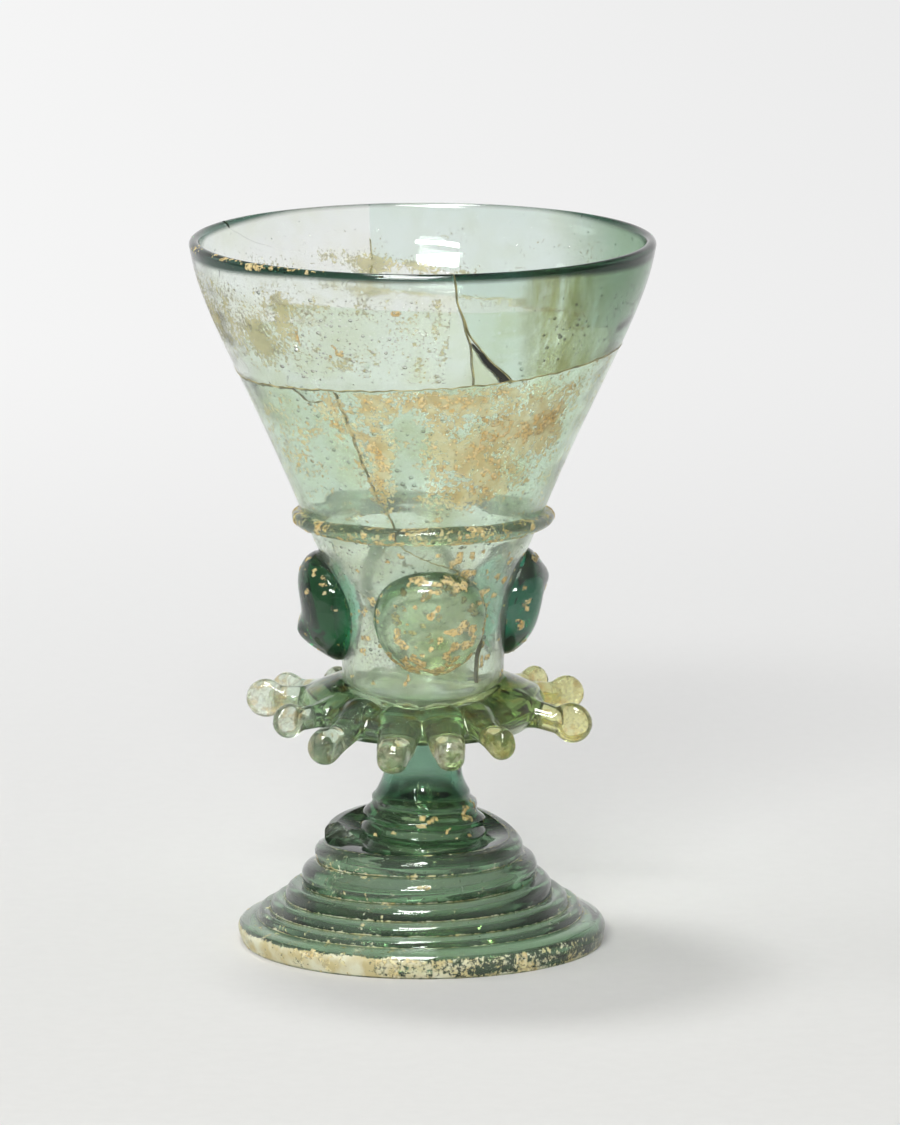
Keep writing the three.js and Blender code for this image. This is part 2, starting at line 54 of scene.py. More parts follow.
LIP_RADIUS = 31
LIP_THICKNESS = 1.5
LIP_THICKENING = 3
LIP_HEIGHT = LIP_TOP - LIP_THICKNESS / 2
WAIST_HEIGHT = 54
WAIST_RADIUS = 14.25
FUNNEL_BOW = 1
BOW_POWER = 3.5
CUP_RADIUS = 10.75
CUP_CORNER = 4
WALL = 1.2
CUP_FLOOR = 1.7
MAIN_BREAK = [
    (-315, 0.672), (-282, 0.672), (-230, 0.672), (-180, 0.667), (-135, 0.707), (-105, 0.66), (-77, 0.585),
    (-28, 0.607), (27, 0.639), (79, 0.677), (130, 0.672), (180, 0.667), (225, 0.707),
]
HALF_CRACK = 0.05
REAR_HALF_CRACK = 0.012
BREAK_RISE = 0.02
BREAK_SEEN = 0.06
PIT_DEPTH = 0.06
SWELL_DEPTH = 0.12
GLASS_IOR = 1.5
CLEAR = (1, 1, 1)
WALL_COLUMNS = 240
WALL_ROWS = 56
CORNER_ROWS = 12
CAP_POINTS = 11
WELD = 1e-7


def place(bearing, radius, height):
    """A point at a bearing, a radius from the glass's axis and a height: x = r sin b, y = -r cos b."""
    turn = np.radians(bearing)
    return np.stack(np.broadcast_arrays(radius * np.sin(turn), -radius * np.cos(turn), height), -1)


def smooth(share):
    """An S-shaped step, 3t^2 - 2t^3, with t held between 0 and 1."""
    t = np.clip(share, 0, 1)
    return t * t * (3 - 2 * t)


def mix(a, b, share):
    """From a to b in a straight line."""
    return a + (b - a) * share


def curve(points, x):
    """y at x on a smooth curve through a few points. Each point's slope is the harmonic mean of the slopes
    on its two sides, and level where they disagree, so the curve never swings past its points."""
    px, py = np.array(points, float).T
    rise = np.diff(py) / np.diff(px)
    before, after = np.r_[rise[0], rise], np.r_[rise, rise[-1]]
    agree = before * after > 0
    slope = np.where(agree, 2 * before * after / np.where(agree, before + after, 1), 0)
    i = np.clip(np.searchsorted(px, x) - 1, 0, len(px) - 2)
    width = px[i + 1] - px[i]
    t = np.clip((x - px[i]) / width, 0, 1)
    bend = width * t * (1 - t) * (slope[i] * (1 - t) - slope[i + 1] * t)
    return mix(py[i], py[i + 1], smooth(t)) + bend


def outer_radius(z):
    """The outside of the wall. Funnel: a straight slope bowed out a little near the lip. Cup: its radius
    widens with the cube of the height, less a quarter round at its foot."""
    z = np.asarray(z, float)
    u = np.clip((z - WAIST_HEIGHT) / (LIP_HEIGHT - WAIST_HEIGHT), 0, 1)
    peak = (BOW_POWER / (BOW_POWER + 1)) ** BOW_POWER / (BOW_POWER + 1)
    funnel = mix(WAIST_RADIUS, LIP_RADIUS, u) + FUNNEL_BOW * u**BOW_POWER * (1 - u) / peak
    v = np.clip((z - CUP_UNDERSIDE) / (WAIST_HEIGHT - CUP_UNDERSIDE), 0, 1)
    below = np.clip(CUP_UNDERSIDE + CUP_CORNER - z, 0, CUP_CORNER)
    cup = mix(CUP_RADIUS, WAIST_RADIUS, v**3) - CUP_CORNER + np.sqrt(CUP_CORNER**2 - below**2)
    return np.where(z >= WAIST_HEIGHT, funnel, cup)


def thickness(z):
    """The wall's thickness: even, and swelling into the fire-rounded lip."""
    return mix(WALL, LIP_THICKNESS, smooth(1 - (LIP_HEIGHT - z) / LIP_THICKENING))


def ripple(bearing, z):
    """The uneven inside of blown glass: rings left by the turning pipe, and slower swells round the wall."""
    b = np.radians(bearing)
    rings = 0.022 * np.sin(1.9 * z + 1.3 * np.sin(b)) + 0.03 * np.sin(0.7 * z + 2 * b)
    return rings + 0.05 * np.sin(3 * b + 0.11 * z) + 0.03 * np.sin(7 * b - 0.3 * z)


def funnel_height(share):
    """A height as a share of the funnel from its waist to its lip."""
    return mix(WAIST_HEIGHT, LIP_HEIGHT, share)


def main_break(bearing):
    """The main break's height: a smooth curve round the wall with the small steps of broken glass."""
    b = (np.asarray(bearing, float) + 180) % 360 - 180
    steps = 0.07 * np.sin(np.radians(31 * b)) + 0.05 * np.sin(np.radians(73 * b))
    return funnel_height(curve(MAIN_BREAK, b)) + steps


def half_crack(bearing):
    """Half the gap at a break: narrower at the rear, where the pieces were set closer."""
    b = np.abs((np.asarray(bearing, float) + 180) % 360 - 180)
    return mix(HALF_CRACK, REAR_HALF_CRACK, smooth((b - 70) / 30))


def grid_faces(rows, columns, close_rows=False, close_columns=False):
    """Quads between neighbouring points of a grid, as the numbers of their corners."""
    j = np.arange(rows if close_rows else rows - 1)[:, None]
    i = np.arange(columns if close_columns else columns - 1)[None, :]
    here, below = j * columns, (j + 1) % rows * columns
    right = (i + 1) % columns
    return np.stack([here + i, here + right, below + right, below + i], -1).reshape(-1, 4)


def outwards(points, faces):
    """The faces turned so that the closed shape's volume, summed over its triangles, is positive."""
    a, b, c, d = (points[faces[:, k]] for k in range(4))
    volume = np.sum(a * np.cross(b, c)) + np.sum(a * np.cross(c, d))
    return faces if volume > 0 else faces[:, ::-1]


def add_piece(name, shapes, sharp=35, cover=None):
    """One smooth-shaded object from closed shapes of (points in mm, quads, perhaps a 1 for each quad on a
    break), with meeting points welded. Its material reads the latter as "broken", and a number for each point
    as "cover"."""
    start, points, faces, marks = 0, [], [], []
    for shape_points, shape_faces, *shape_marks in shapes:
        points.append(shape_points)
        faces.append(shape_faces + start)
        marks.append(shape_marks[0] if shape_marks else np.zeros(len(shape_faces), int))
        start += len(shape_points)
    mesh = bpy.data.meshes.new(name)
    mesh.from_pydata((np.concatenate(points) * MM).tolist(), [], np.concatenate(faces).tolist())
    broken = np.concatenate(marks).astype(float)
    if broken.any():
        mesh.attributes.new("broken", "FLOAT", "FACE").data.foreach_set("value", broken)
    if cover is not None:
        mesh.attributes.new("cover", "FLOAT", "POINT").data.foreach_set("value", np.concatenate(cover))
    work = bmesh.new()
    work.from_mesh(mesh)
    bmesh.ops.remove_doubles(work, verts=work.verts, dist=WELD)
    work.to_mesh(mesh)
    work.free()
    mesh.shade_smooth()
    mesh.set_sharp_from_angle(angle=math.radians(sharp))
    piece = bpy.data.objects.new(name, mesh)
    bpy.context.scene.collection.objects.link(piece)
    return piece


def ring_shape(loops):
    """A closed shape from loops of points set round the axis: points[loop, place in the loop]."""
    points = loops.reshape(-1, 3)
    return points, outwards(points, grid_faces(loops.shape[0], loops.shape[1], True, True))


def bubble_shapes(bearings, heights, sizes, depth):
    """Seeds: small closed hollows in the wall, long in the direction in which the glass was drawn. Each is a
    ball of a few dozen faces, turned inside out, because its glass is outside it."""
    rings, spokes = 6, 8
    polar = np.linspace(0, np.pi, rings)[:, None]
    round_ = np.linspace(0, 2 * np.pi, spokes + 1)[None, :-1]
    ball = np.stack(np.broadcast_arrays(
        np.sin(polar) * np.cos(round_), np.sin(polar) * np.sin(round_), np.cos(polar)
    ), -1).reshape(-1, 3)
    faces = outwards(ball, grid_faces(rings, spokes, False, True))[:, ::-1]
    centre = place(bearings, outer_radius(heights) - depth * thickness(heights), heights)
    along = place(bearings + 90, 1, 0)
    out = place(bearings, 0.9, -0.42)
    up = np.cross(out, along)
    axes = np.stack([along * 1.25, up, out * 0.8], 1) * sizes[:, None, None]
    points = centre[:, None, :] + np.einsum("bk,nkx->nbx", ball, axes)
    numbers = faces[None] + (np.arange(len(bearings)) * len(ball))[:, None, None]
    return points.reshape(-1, 3), numbers.reshape(-1, 4)


def wall_bubbles(count, seed, bearing_range, height_range):
    """Seeds scattered through the middle of the wall, most of them tiny."""
    rng = np.random.default_rng(seed)
    bearings = rng.uniform(*bearing_range, count)
    heights = rng.uniform(*height_range, count)
    sizes = 0.09 + 0.2 * rng.random(count) ** 2
    return bubble_shapes(bearings, heights, sizes, rng.uniform(0.35, 0.65, count))


def node(tree, kind, inputs=(), **settings):
    """A shader node with its settings and named inputs; an input may be a value or another node's output."""
    made = tree.nodes.new(kind)
    for key, value in settings.items():
        setattr(made, key, value)
    for key, value in dict(inputs).items():
        if isinstance(value, bpy.types.NodeSocket):
            tree.links.new(value, made.inputs[key])
        else:
            made.inputs[key].default_value = value
    return made


def number(tree, operation, *values):
    """The result of one sum on up to three numbers."""
    return node(tree, "ShaderNodeMath", dict(enumerate(values)), operation=operation).outputs[0]


def ramp(tree, value, start, end, low=0, high=1, eased=False):
    """A number that goes from low to high while a value goes from start to end: in a straight line, or eased
    in and out as an S."""
    return node(tree, "ShaderNodeMapRange", {
        "Value": value, "From Min": start, "From Max": end, "To Min": low, "To Max": high,
    }, interpolation_type="SMOOTHSTEP" if eased else "LINEAR").outputs["Result"]


def blend(tree, share, a, b, way="MIX"):
    """A colour that goes from a to b by a share. Each is three numbers or another node's colour."""
    a, b = (colour if isinstance(colour, bpy.types.NodeSocket) else (*colour, 1) for colour in (a, b))
    inputs = {"Factor": share, "A": a, "B": b}
    return node(tree, "ShaderNodeMix", inputs, data_type="RGBA", blend_type=way).outputs[2]


def cloud(tree, scale, detail, roughness=0.5):
    """Soft noise from 0 to 1 over the piece's own shape, with so many blotches to the metre."""
    return node(tree, "ShaderNodeTexNoise", {
        "Vector": node(tree, "ShaderNodeTexCoord").outputs["Object"],
        "Scale": scale, "Detail": detail, "Roughness": roughness,
    }).outputs["Fac"]


def stored(tree, name):
    """The number that the mesh stores under a name for each of its points or faces."""
    return node(tree, "ShaderNodeAttribute", attribute_name=name).outputs["Fac"]


def blank_material(name):
    """A new material, and its empty tree of nodes."""
    material = bpy.data.materials.new(name)
    material.use_nodes = True
    material.node_tree.nodes.clear()
    return material, material.node_tree


def new_group(name, inputs, outputs):
    """An empty node group with named number inputs (name: default) and named outputs (name: kind)."""
    group = bpy.data.node_groups.new(name, "ShaderNodeTree")
    for key, value in inputs.items():
        socket = group.interface.new_socket(name=key, in_out="INPUT", socket_type="NodeSocketFloat")
        socket.default_value = value
    for key, kind in outputs.items():
        group.interface.new_socket(name=key, in_out="OUTPUT", socket_type=kind)
    return group


def pitting_group():
    """Pits of old glass. Round cells scattered over the surface; the chosen share of them is a dimple."""
    group = new_group("pitting", {"Spacing": 0.9, "Share": 0.4, "Size": 0.3}, {"Height": "NodeSocketFloat"})
    given = group.nodes.new("NodeGroupInput").outputs
    cells = node(group, "ShaderNodeTexVoronoi", {
        "Vector": node(group, "ShaderNodeTexCoord").outputs["Object"],
        "Scale": number(group, "DIVIDE", 1 / MM, given["Spacing"]), "Randomness": 1,
    }).outputs
    lottery = node(group, "ShaderNodeSeparateColor", {"Color": cells["Color"]}).outputs
    chosen = number(group, "LESS_THAN", lottery["Red"], given["Share"])
    radius = number(group, "MULTIPLY", lottery["Green"], given["Size"])
    dimple = ramp(group, cells["Distance"], radius, 0, eased=True)
    mask = number(group, "MULTIPLY", dimple, chosen)
    node(group, "NodeGroupOutput", {"Height": number(group, "MULTIPLY", mask, -1)})
    return group


def stain_group():
    """Faint stains and swells in the glass: soft noise, as a colour from clear to a stain and as a height."""
    outputs = {"Color": "NodeSocketColor", "Height": "NodeSocketFloat"}
    group = new_group("stain", {"Size": 6, "Strength": 0.3}, outputs)
    given = group.nodes.new("NodeGroupInput").outputs
    scale = number(group, "DIVIDE", 1 / MM, given["Size"])
    spread = ramp(group, cloud(group, scale, 4, 0.55), 0.45, 0.75, 0, given["Strength"])
    colour = blend(group, spread, CLEAR, (0.72, 0.72, 0.42))
    node(group, "NodeGroupOutput", {"Color": colour, "Height": cloud(group, scale, 0.5, 0.4)})
    return group


PITTING = pitting_group()
STAIN = stain_group()


def wet_breaks(tree, surface):
    """The faces of a break are wet with clear adhesive: nearly all the light goes straight through them."""
    tree.links.new(ramp(tree, stored(tree, "broken"), 0, 1, 1, BREAK_SEEN), surface.inputs["Alpha"])


def glass_material(
    name, absorbed, veil=0.04, spacing=0.9, share=0.4, stain=0.3, rough=(0.01, 0.05), shade=None,
    breaks=False,
):
    """Green glass: a clear surface over a body that absorbs so much red, green and blue light in a
    millimetre, lightly veiled and stained by age, pitted and uneven. A shade may tint it further by place."""
    material, tree = blank_material(name)
    pits = node(tree, "ShaderNodeGroup", {"Spacing": spacing, "Share": share}, node_tree=PITTING).outputs
    stains = node(tree, "ShaderNodeGroup", {"Strength": stain}, node_tree=STAIN).outputs
    colour = stains["Color"]
    if shade:
        place_here = node(tree, "ShaderNodeTexCoord").outputs["Object"]
        spot = node(tree, "ShaderNodeSeparateXYZ", {"Vector": place_here}).outputs
        colour = blend(tree, 1, colour, shade(tree, spot), "MULTIPLY")
    swell = node(tree, "ShaderNodeBump", {"Height": stains["Height"], "Distance": SWELL_DEPTH * MM})
    dents = node(tree, "ShaderNodeBump", {
        "Height": pits["Height"], "Distance": PIT_DEPTH * MM, "Normal": swell.outputs["Normal"],
    })
    surface = node(tree, "ShaderNodeBsdfPrincipled", {
        "Base Color": colour, "Roughness": ramp(tree, stains["Height"], 0.4, 0.6, *rough), "IOR": GLASS_IOR,
        "Transmission Weight": 1 - veil, "Normal": dents.outputs["Normal"],
    })
    if breaks:
        wet_breaks(tree, surface)
    most = 1.1 * max(absorbed)
    body = node(tree, "ShaderNodeVolumeAbsorption", {
        "Color": [1 - a / most for a in absorbed] + [1], "Density": most / MM,
    })
    node(tree, "ShaderNodeOutputMaterial", {"Surface": surface.outputs[0], "Volume": body.outputs[0]})
    return material


def finish_piece(piece, material, slot_name=None, *nodes):
    """Gives a finished piece its material, lets it ride on the glass and stand for its CAD nodes."""
    piece.data.materials.append(material)
    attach(piece, "root")
    if nodes:
        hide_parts(*nodes)


def wall_loops(bearings, low, top, rounded):
    """Upright sections of wall, [section, place in the loop]: up the outside, over the top and down the
    uneven inside. bearings gives the sections' bearings at a share of the way up; low, top and rounded have
    one entry for each section."""
    v = np.linspace(0, 1, WALL_ROWS)[None, :]
    cap_turn = np.linspace(0, np.pi, CAP_POINTS + 2)[None, 1:-1]
    z = mix(low[:, None], top[:, None], v)
    b = bearings(v)
    outside = place(b, outer_radius(z), z)
    inside = place(b, outer_radius(z) - thickness(z) + ripple(b, z), z)[:, ::-1]
    half = thickness(top)[:, None] / 2
    middle = outer_radius(top)[:, None] - half
    lift = np.where(rounded[:, None], half, BREAK_RISE)
    cap = place(b[:, -1:], middle + half * np.cos(cap_turn), top[:, None] + lift * np.sin(cap_turn))
    return np.concatenate([outside, cap, inside], 1)


def body_shade(tree, spot):
    """The funnel's wall is a little greyer than the cup's."""
    above = ramp(tree, spot["Z"], 54 * MM, 60 * MM, eased=True)
    return blend(tree, above, (0.97, 1, 0.97), (0.86, 0.93, 0.87))


blown_glass = glass_material(
    "blown_glass", (0.045, 0.012, 0.05), veil=0.09, stain=0.6, rough=(0.03, 0.14), shade=body_shade,
    breaks=True,
)
turn = np.arange(WALL_COLUMNS) * 360 / WALL_COLUMNS - 180
around = turn[:, None]
quarter = np.linspace(0, np.pi / 2, CORNER_ROWS)
corner_height = CUP_UNDERSIDE + CUP_CORNER
inner_floor = CUP_UNDERSIDE + CUP_FLOOR
upper = wall_loops(
    lambda v: around, np.full(WALL_COLUMNS, float(corner_height)), main_break(turn) - half_crack(turn),
    np.zeros(WALL_COLUMNS, bool),
)
corner_z = corner_height - CUP_CORNER * np.cos(quarter[:-1])
corner_out = place(around, outer_radius(corner_z), corner_z)
corner_in = place(
    around, outer_radius(corner_height) - WALL - (CUP_CORNER - WALL) * (1 - np.cos(quarter[1:])),
    corner_height - (corner_height - inner_floor) * np.sin(quarter[1:]),
)
axis_low = place(around, 0, CUP_UNDERSIDE)
axis_high = place(around, 0, inner_floor)
bowl_loops = np.concatenate([axis_low, corner_out, upper, corner_in, axis_high], 1)
bowl_broken = np.zeros(bowl_loops.shape[:2], int)
first_cap = len(corner_z) + WALL_ROWS
bowl_broken[:, first_cap:first_cap + CAP_POINTS + 1] = 1
bowl_body = add_piece("bowl_body_glass", [
    (*ring_shape(bowl_loops), bowl_broken.ravel()),
    wall_bubbles(900, 11, (-80, 80), (40, 77)),
    wall_bubbles(260, 12, (80, 280), (40, 77)),
])
finish_piece(bowl_body, blown_glass, "blown_glass", "bowl_body")

# The broken rim. Three pieces of the same wall, with the round lip along their tops, set back on the body
# and held at their edges by a film of adhesive that has gone brown.
REAR_BREAK = [
    (-238, 0.66), (-230, 0.672), (-190, 0.79), (-160, 0.845), (-146, 0.872), (-130, 0.93), (-118, 1),
]
REAR_BREAK_AT_RIM = -166
FRONT_BREAK_LEFT = [(0, 15.1), (0.21, 13.9), (0.4, 12.5), (0.52, 11.1), (0.83, 8.3), (1, 7.7)]
FRONT_BREAK_RIGHT = [(0, 27.2), (0.07, 24.6), (0.23, 18.7), (0.4, 13.8), (0.52, 11.6), (0.83, 8.3), (1, 7.7)]
TAIL = 8
HALF_CRACK_TURN = math.degrees(HALF_CRACK / LIP_RADIUS)
SECTION_STEP = 1.5
POINT_GAP = 0.7


def rear_break(bearing):
    """The height of the break that climbs to the rim at the rear left."""
    b = (np.asarray(bearing, float) + 300) % 360 - 300
    return funnel_height(curve(REAR_BREAK, b)) + 0.05 * np.sin(np.radians(37 * b))


def front_left(v):
    """The bearing of the front break's left edge at a share of the way up to the lip."""
    return curve(FRONT_BREAK_LEFT, v) + 0.15 * np.sin(23 * v)


def front_right(v):
    """The bearing of the front break's right edge at a share of the way up to the lip."""
    return curve(FRONT_BREAK_RIGHT, v) + 0.15 * np.sin(23 * v)


def strip_shape(loops, broken=None):
    """A closed shape from loops set side by side, whose two end loops are closed by strips that join one
    half of the loop to the other. broken says which quads of the sides lie on a break, and then the ends
    do too."""
    count, size = loops.shape[:2]
    points = loops.reshape(-1, 3)
    i = np.arange(size // 2)
    start = np.stack([i, i + 1, size - 2 - i, size - 1 - i], -1)
    end = start[:, ::-1] + (count - 1) * size
    sides = grid_faces(count, size, False, True)
    faces = outwards(points, np.concatenate([sides, start[:, ::-1], end[:, ::-1]]))
    ends = np.full(2 * len(i), broken is not None)
    marks = np.zeros(len(sides), bool) if broken is None else np.asarray(broken).ravel()
    return points, faces, np.concatenate([marks, ends]).astype(int)


def shard_shape(first_edge, last_edge, low_at, top_at):
    """A piece of rim between two edges, each a bearing that depends on the share of the way up."""
    span = abs(float(last_edge(0.0) - first_edge(0.0)))
    u = np.linspace(0, 1, max(6, round(span / SECTION_STEP)) + 1)[:, None]
    bearings = lambda v: mix(first_edge(v), last_edge(v), u)
    top = top_at(bearings(np.ones((1, 1)))[:, 0])
    low = low_at(bearings(np.zeros((1, 1)))[:, 0])
    rounded = top >= LIP_HEIGHT - 1e-4
    loops = wall_loops(bearings, low, top, rounded)
    broken = np.zeros((len(loops) - 1, loops.shape[1]), bool)
    broken[:, -1] = True
    broken[:, WALL_ROWS - 1:WALL_ROWS + CAP_POINTS] = ~rounded[:-1, None]
    return strip_shape(loops, broken)


def level(bearing):
    """The lip's height at any bearing."""
    return np.full_like(bearing, LIP_HEIGHT)


def lip_painted_shade(tree, spot):
    """The fire-rounded lip, through which light runs a long way round: painted shade, dark green above a
    height that is lower in front and at the sides, which stands in for that light; and a short clear gap at
    the rear, a painted highlight where the soft box shows in the lip."""
    start = ramp(tree, spot["Y"], -6 * MM, 6 * MM, (LIP_HEIGHT - 0.8) * MM, (LIP_HEIGHT + 0.15) * MM)
    drop = ramp(tree, number(tree, "ABSOLUTE", spot["X"]), 14 * MM, 31 * MM, 0, -0.9 * MM, eased=True)
    low = number(tree, "ADD", start, drop)
    mask = ramp(tree, spot["Z"], low, number(tree, "ADD", low, 0.9 * MM), eased=True)
    # Painted highlight: the lip is left unshaded in a short gap at the rear, where the soft box shows in it.
    aside = number(tree, "ABSOLUTE", number(tree, "ADD", spot["X"], -1.8 * MM))
    beside = ramp(tree, aside, 3 * MM, 7 * MM, eased=True)
    dark = number(tree, "MAXIMUM", beside, number(tree, "LESS_THAN", spot["Y"], 0))
    return blend(tree, number(tree, "MULTIPLY", mask, dark), CLEAR, (0.02, 0.07, 0.05))


def streaks_and_painted_edge_shade(tree, spot):
    """The right piece: the lip's painted shade, upright olive streaks of old adhesive on its front, and
    painted shade towards its right edge, a deeper green that stands in for the wall seen edge on."""
    flat = node(tree, "ShaderNodeCombineXYZ", {"X": spot["X"], "Y": spot["Y"]}).outputs[0]
    streaks = node(tree, "ShaderNodeTexNoise", {"Vector": flat, "Scale": 420, "Detail": 6, "Roughness": 0.7})
    strong = ramp(tree, streaks.outputs["Fac"], 0.37, 0.56, 0.25)
    first = ramp(tree, spot["X"], 12 * MM, 15 * MM)
    last = ramp(tree, spot["X"], 27 * MM, 22 * MM)
    mask = number(tree, "MULTIPLY", number(tree, "MULTIPLY", first, last), strong)
    there = number(tree, "MULTIPLY", mask, number(tree, "LESS_THAN", spot["Y"], 0))
    stained = blend(tree, there, (0.9, 0.95, 0.92), (0.42, 0.42, 0.18))
    # Painted shade: deeper green towards the right edge, where the wall is seen edge on.
    edge = blend(tree, ramp(tree, spot["X"], 16 * MM, 30 * MM, eased=True), stained, (0.31, 0.45, 0.3))
    return blend(tree, 1, lip_painted_shade(tree, spot), edge, "MULTIPLY")


rim_glass = glass_material(
    "rim_glass", (0.05, 0.025, 0.045), veil=0.05, rough=(0.02, 0.08), shade=lip_painted_shade, breaks=True
)
rim_right_glass = glass_material(
    "rim_right_glass", (0.08, 0.035, 0.05), veil=0.05, stain=0.25, rough=(0.01, 0.06), shade=streaks_and_painted_edge_shade,
    breaks=True,
)
rear_tail = REAR_BREAK[1][0] + TAIL
rear_point = REAR_BREAK[-1][0]
rim_left = add_piece("rim_shard_left_glass", [
    shard_shape(
        lambda v: front_left(v) - HALF_CRACK_TURN,
        lambda v: rear_tail,
        lambda b: main_break(b) + half_crack(b),
        lambda b: np.where(b > rear_point, LIP_HEIGHT, rear_break(b) - REAR_HALF_CRACK),
    ),
    wall_bubbles(220, 21, (-110, 5), (80, 92)),
])
finish_piece(rim_left, rim_glass, "blown_glass", "rim_shard_left")
rim_rear = add_piece("rim_shard_rear_glass", [shard_shape(
    lambda v: rear_point - POINT_GAP,
    lambda v: REAR_BREAK_AT_RIM + HALF_CRACK_TURN,
    lambda b: rear_break(b) + REAR_HALF_CRACK,
    level,
)])
finish_piece(rim_rear, rim_glass, "blown_glass", "rim_shard_rear")
rim_right = add_piece("rim_shard_right_glass", [
    shard_shape(
        lambda v: front_right(v) + HALF_CRACK_TURN,
        lambda v: REAR_BREAK_AT_RIM + 360 - HALF_CRACK_TURN,
        lambda b: np.maximum(main_break(b), np.where(b > 90, rear_break(b), 0)) + half_crack(b),
        level,
    ),
    wall_bubbles(140, 22, (32, 120), (82, 92)),
])
finish_piece(rim_right, rim_right_glass, "blown_glass", "rim_shard_right")

# The fill: a small wedge of pale clear resin that closes the lower half of the front break. Beside it, along
# the break's right branch, a narrow wedge stays open.
FILL_TOP = 0.4
OPEN_WEDGE_LOW = 1.55
OPEN_WEDGE_TOP = 0.28


def resin_material():
    """Pale yellow-green resin, satin, clear enough to see light through."""
    material, tree = blank_material("resin_fill")
    stains = node(tree, "ShaderNodeGroup", {"Size": 2}, node_tree=STAIN).outputs
    bump = node(tree, "ShaderNodeBump", {"Height": stains["Height"], "Distance": 0.05 * MM})
    surface = node(tree, "ShaderNodeBsdfPrincipled", {
        "Base Color": stains["Color"], "Roughness": 0.35, "IOR": GLASS_IOR, "Transmission Weight": 1,
        "Normal": bump.outputs["Normal"],
    })
    wet_breaks(tree, surface)
    body = node(tree, "ShaderNodeVolumeAbsorption", {"Color": (0.75, 0.9, 0.45, 1), "Density": 250})
    node(tree, "ShaderNodeOutputMaterial", {"Surface": surface.outputs[0], "Volume": body.outputs[0]})
    return material


break_radius = float(outer_radius(main_break(0)))
wedge_turn = lambda v: np.degrees(mix(OPEN_WEDGE_LOW, OPEN_WEDGE_TOP, v) / break_radius)
fill_top = funnel_height(mix(curve(MAIN_BREAK, front_left(0)), 1, FILL_TOP))
wedge_fill = add_piece("wedge_fill_resin", [shard_shape(
    lambda v: front_left(v * FILL_TOP) - HALF_CRACK_TURN,
    lambda v: front_right(v * FILL_TOP) - wedge_turn(v),
    lambda b: main_break(b) - HALF_CRACK,
    lambda b: np.full_like(b, fill_top),
)])
finish_piece(wedge_fill, resin_material(), "resin_fill", "wedge_fill")

# The breaks' films: brown adhesive that shows at the mended breaks, a near-black wedge of painted shade in
# the open gap next to the fill, and dirt in the old cracks that run down through the body. Each goes right
# through the wall.
LOWER_CRACK = [
    (-28, 78.3), (-25.9, 74.4), (-23.5, 68.7), (-18.4, 62.3), (-15.4, 60.9), (-11.3, 56.6), (5.4, 54),
    (18.1, 52.9), (28.6, 51.2), (38.9, 48.8), (44.4, 45.9), (45.1, 42.4), (42.5, 39.1), (42.9, 36.6),
]
SIDE_CRACK = [(-45.8, 78.5), (-41.6, 77.6), (-38.2, 76.5), (-33, 76.8)]
REAR_CRACK = [(-166, 87), (-164, 83), (-167, 80.4)]
REAR_FILM_TOP = 90.5
FORK_BEARING = 20
FILM_DEPTH = 0.03


def path_through(points, count):
    """Bearings and heights along a path of a few points, evenly spaced by the points' own steps."""
    spots = np.array(points, float)
    own = np.r_[0, np.cumsum(np.hypot(np.diff(spots[:, 0]) * 0.35, np.diff(spots[:, 1])))]
    at = np.linspace(0, own[-1], count)
    bearing = curve(np.stack([own, spots[:, 0]], 1), at)
    height = curve(np.stack([own, spots[:, 1]], 1), at)
    return bearing + 0.25 * np.sin(at * 2.3), height + 0.05 * np.sin(at * 4.1)


def film_shape(bearing, height, width):
    """A thin film right through the wall along a path: its width lies in the surface, square to the path."""
    outer = outer_radius(height) + FILM_DEPTH
    inner = outer_radius(height) - thickness(height) + ripple(bearing, height) - FILM_DEPTH
    outside = place(bearing, outer, height)
    inside = place(bearing, inner, height)
    side = np.cross(place(bearing, 1, 0), np.gradient(outside, axis=0))
    side *= (width / 2 / np.linalg.norm(side, axis=1))[:, None]
    return strip_shape(np.stack([outside - side, outside + side, inside + side, inside - side], 1))


def matt_surface(tree, colour, roughness, height, depth, alpha=1):
    """The end of a material that isn't clear: rough, and uneven by a height between 0 and 1 times a depth."""
    bump = node(tree, "ShaderNodeBump", {"Height": height, "Distance": depth * MM})
    surface = node(tree, "ShaderNodeBsdfPrincipled", {
        "Base Color": colour, "Roughness": roughness, "Normal": bump.outputs["Normal"], "Alpha": alpha,
    })
    node(tree, "ShaderNodeOutputMaterial", {"Surface": surface.outputs[0]})


def film_material(name, dark, light, roughness):
    """Old adhesive or dirt in a crack: two tones in fine blotches, not clear."""
    material, tree = blank_material(name)
    blotch = cloud(tree, 700, 3)
    matt_surface(tree, blend(tree, ramp(tree, blotch, 0.4, 0.65), dark, light), roughness, blotch, 0.05)
    return material


def noise(points, size, seed):
    """Smooth noise from 0 to 1 with blotches of about one size: random values on a cubic lattice, eased
    between its corners."""
    side = 32
    lattice = np.random.default_rng(seed).random((side, side, side))
    p = np.asarray(points, float) / size
    cell = np.floor(p).astype(int)
    t = smooth(p - cell)
    total = 0
    for dx, dy, dz in np.ndindex(2, 2, 2):
        corner = (cell + (dx, dy, dz)) % side
        weight = np.prod(np.where((dx, dy, dz), t, 1 - t), axis=-1)
        total = total + weight * lattice[corner[..., 0], corner[..., 1], corner[..., 2]]
    return total


def break_line(bearing, height, low, high):
    """A film along a break, its width swelling and thinning between two values."""
    swell = noise(place(bearing, 3, height), 1.3, 31)
    return film_shape(bearing, height, mix(low, high, swell**2))


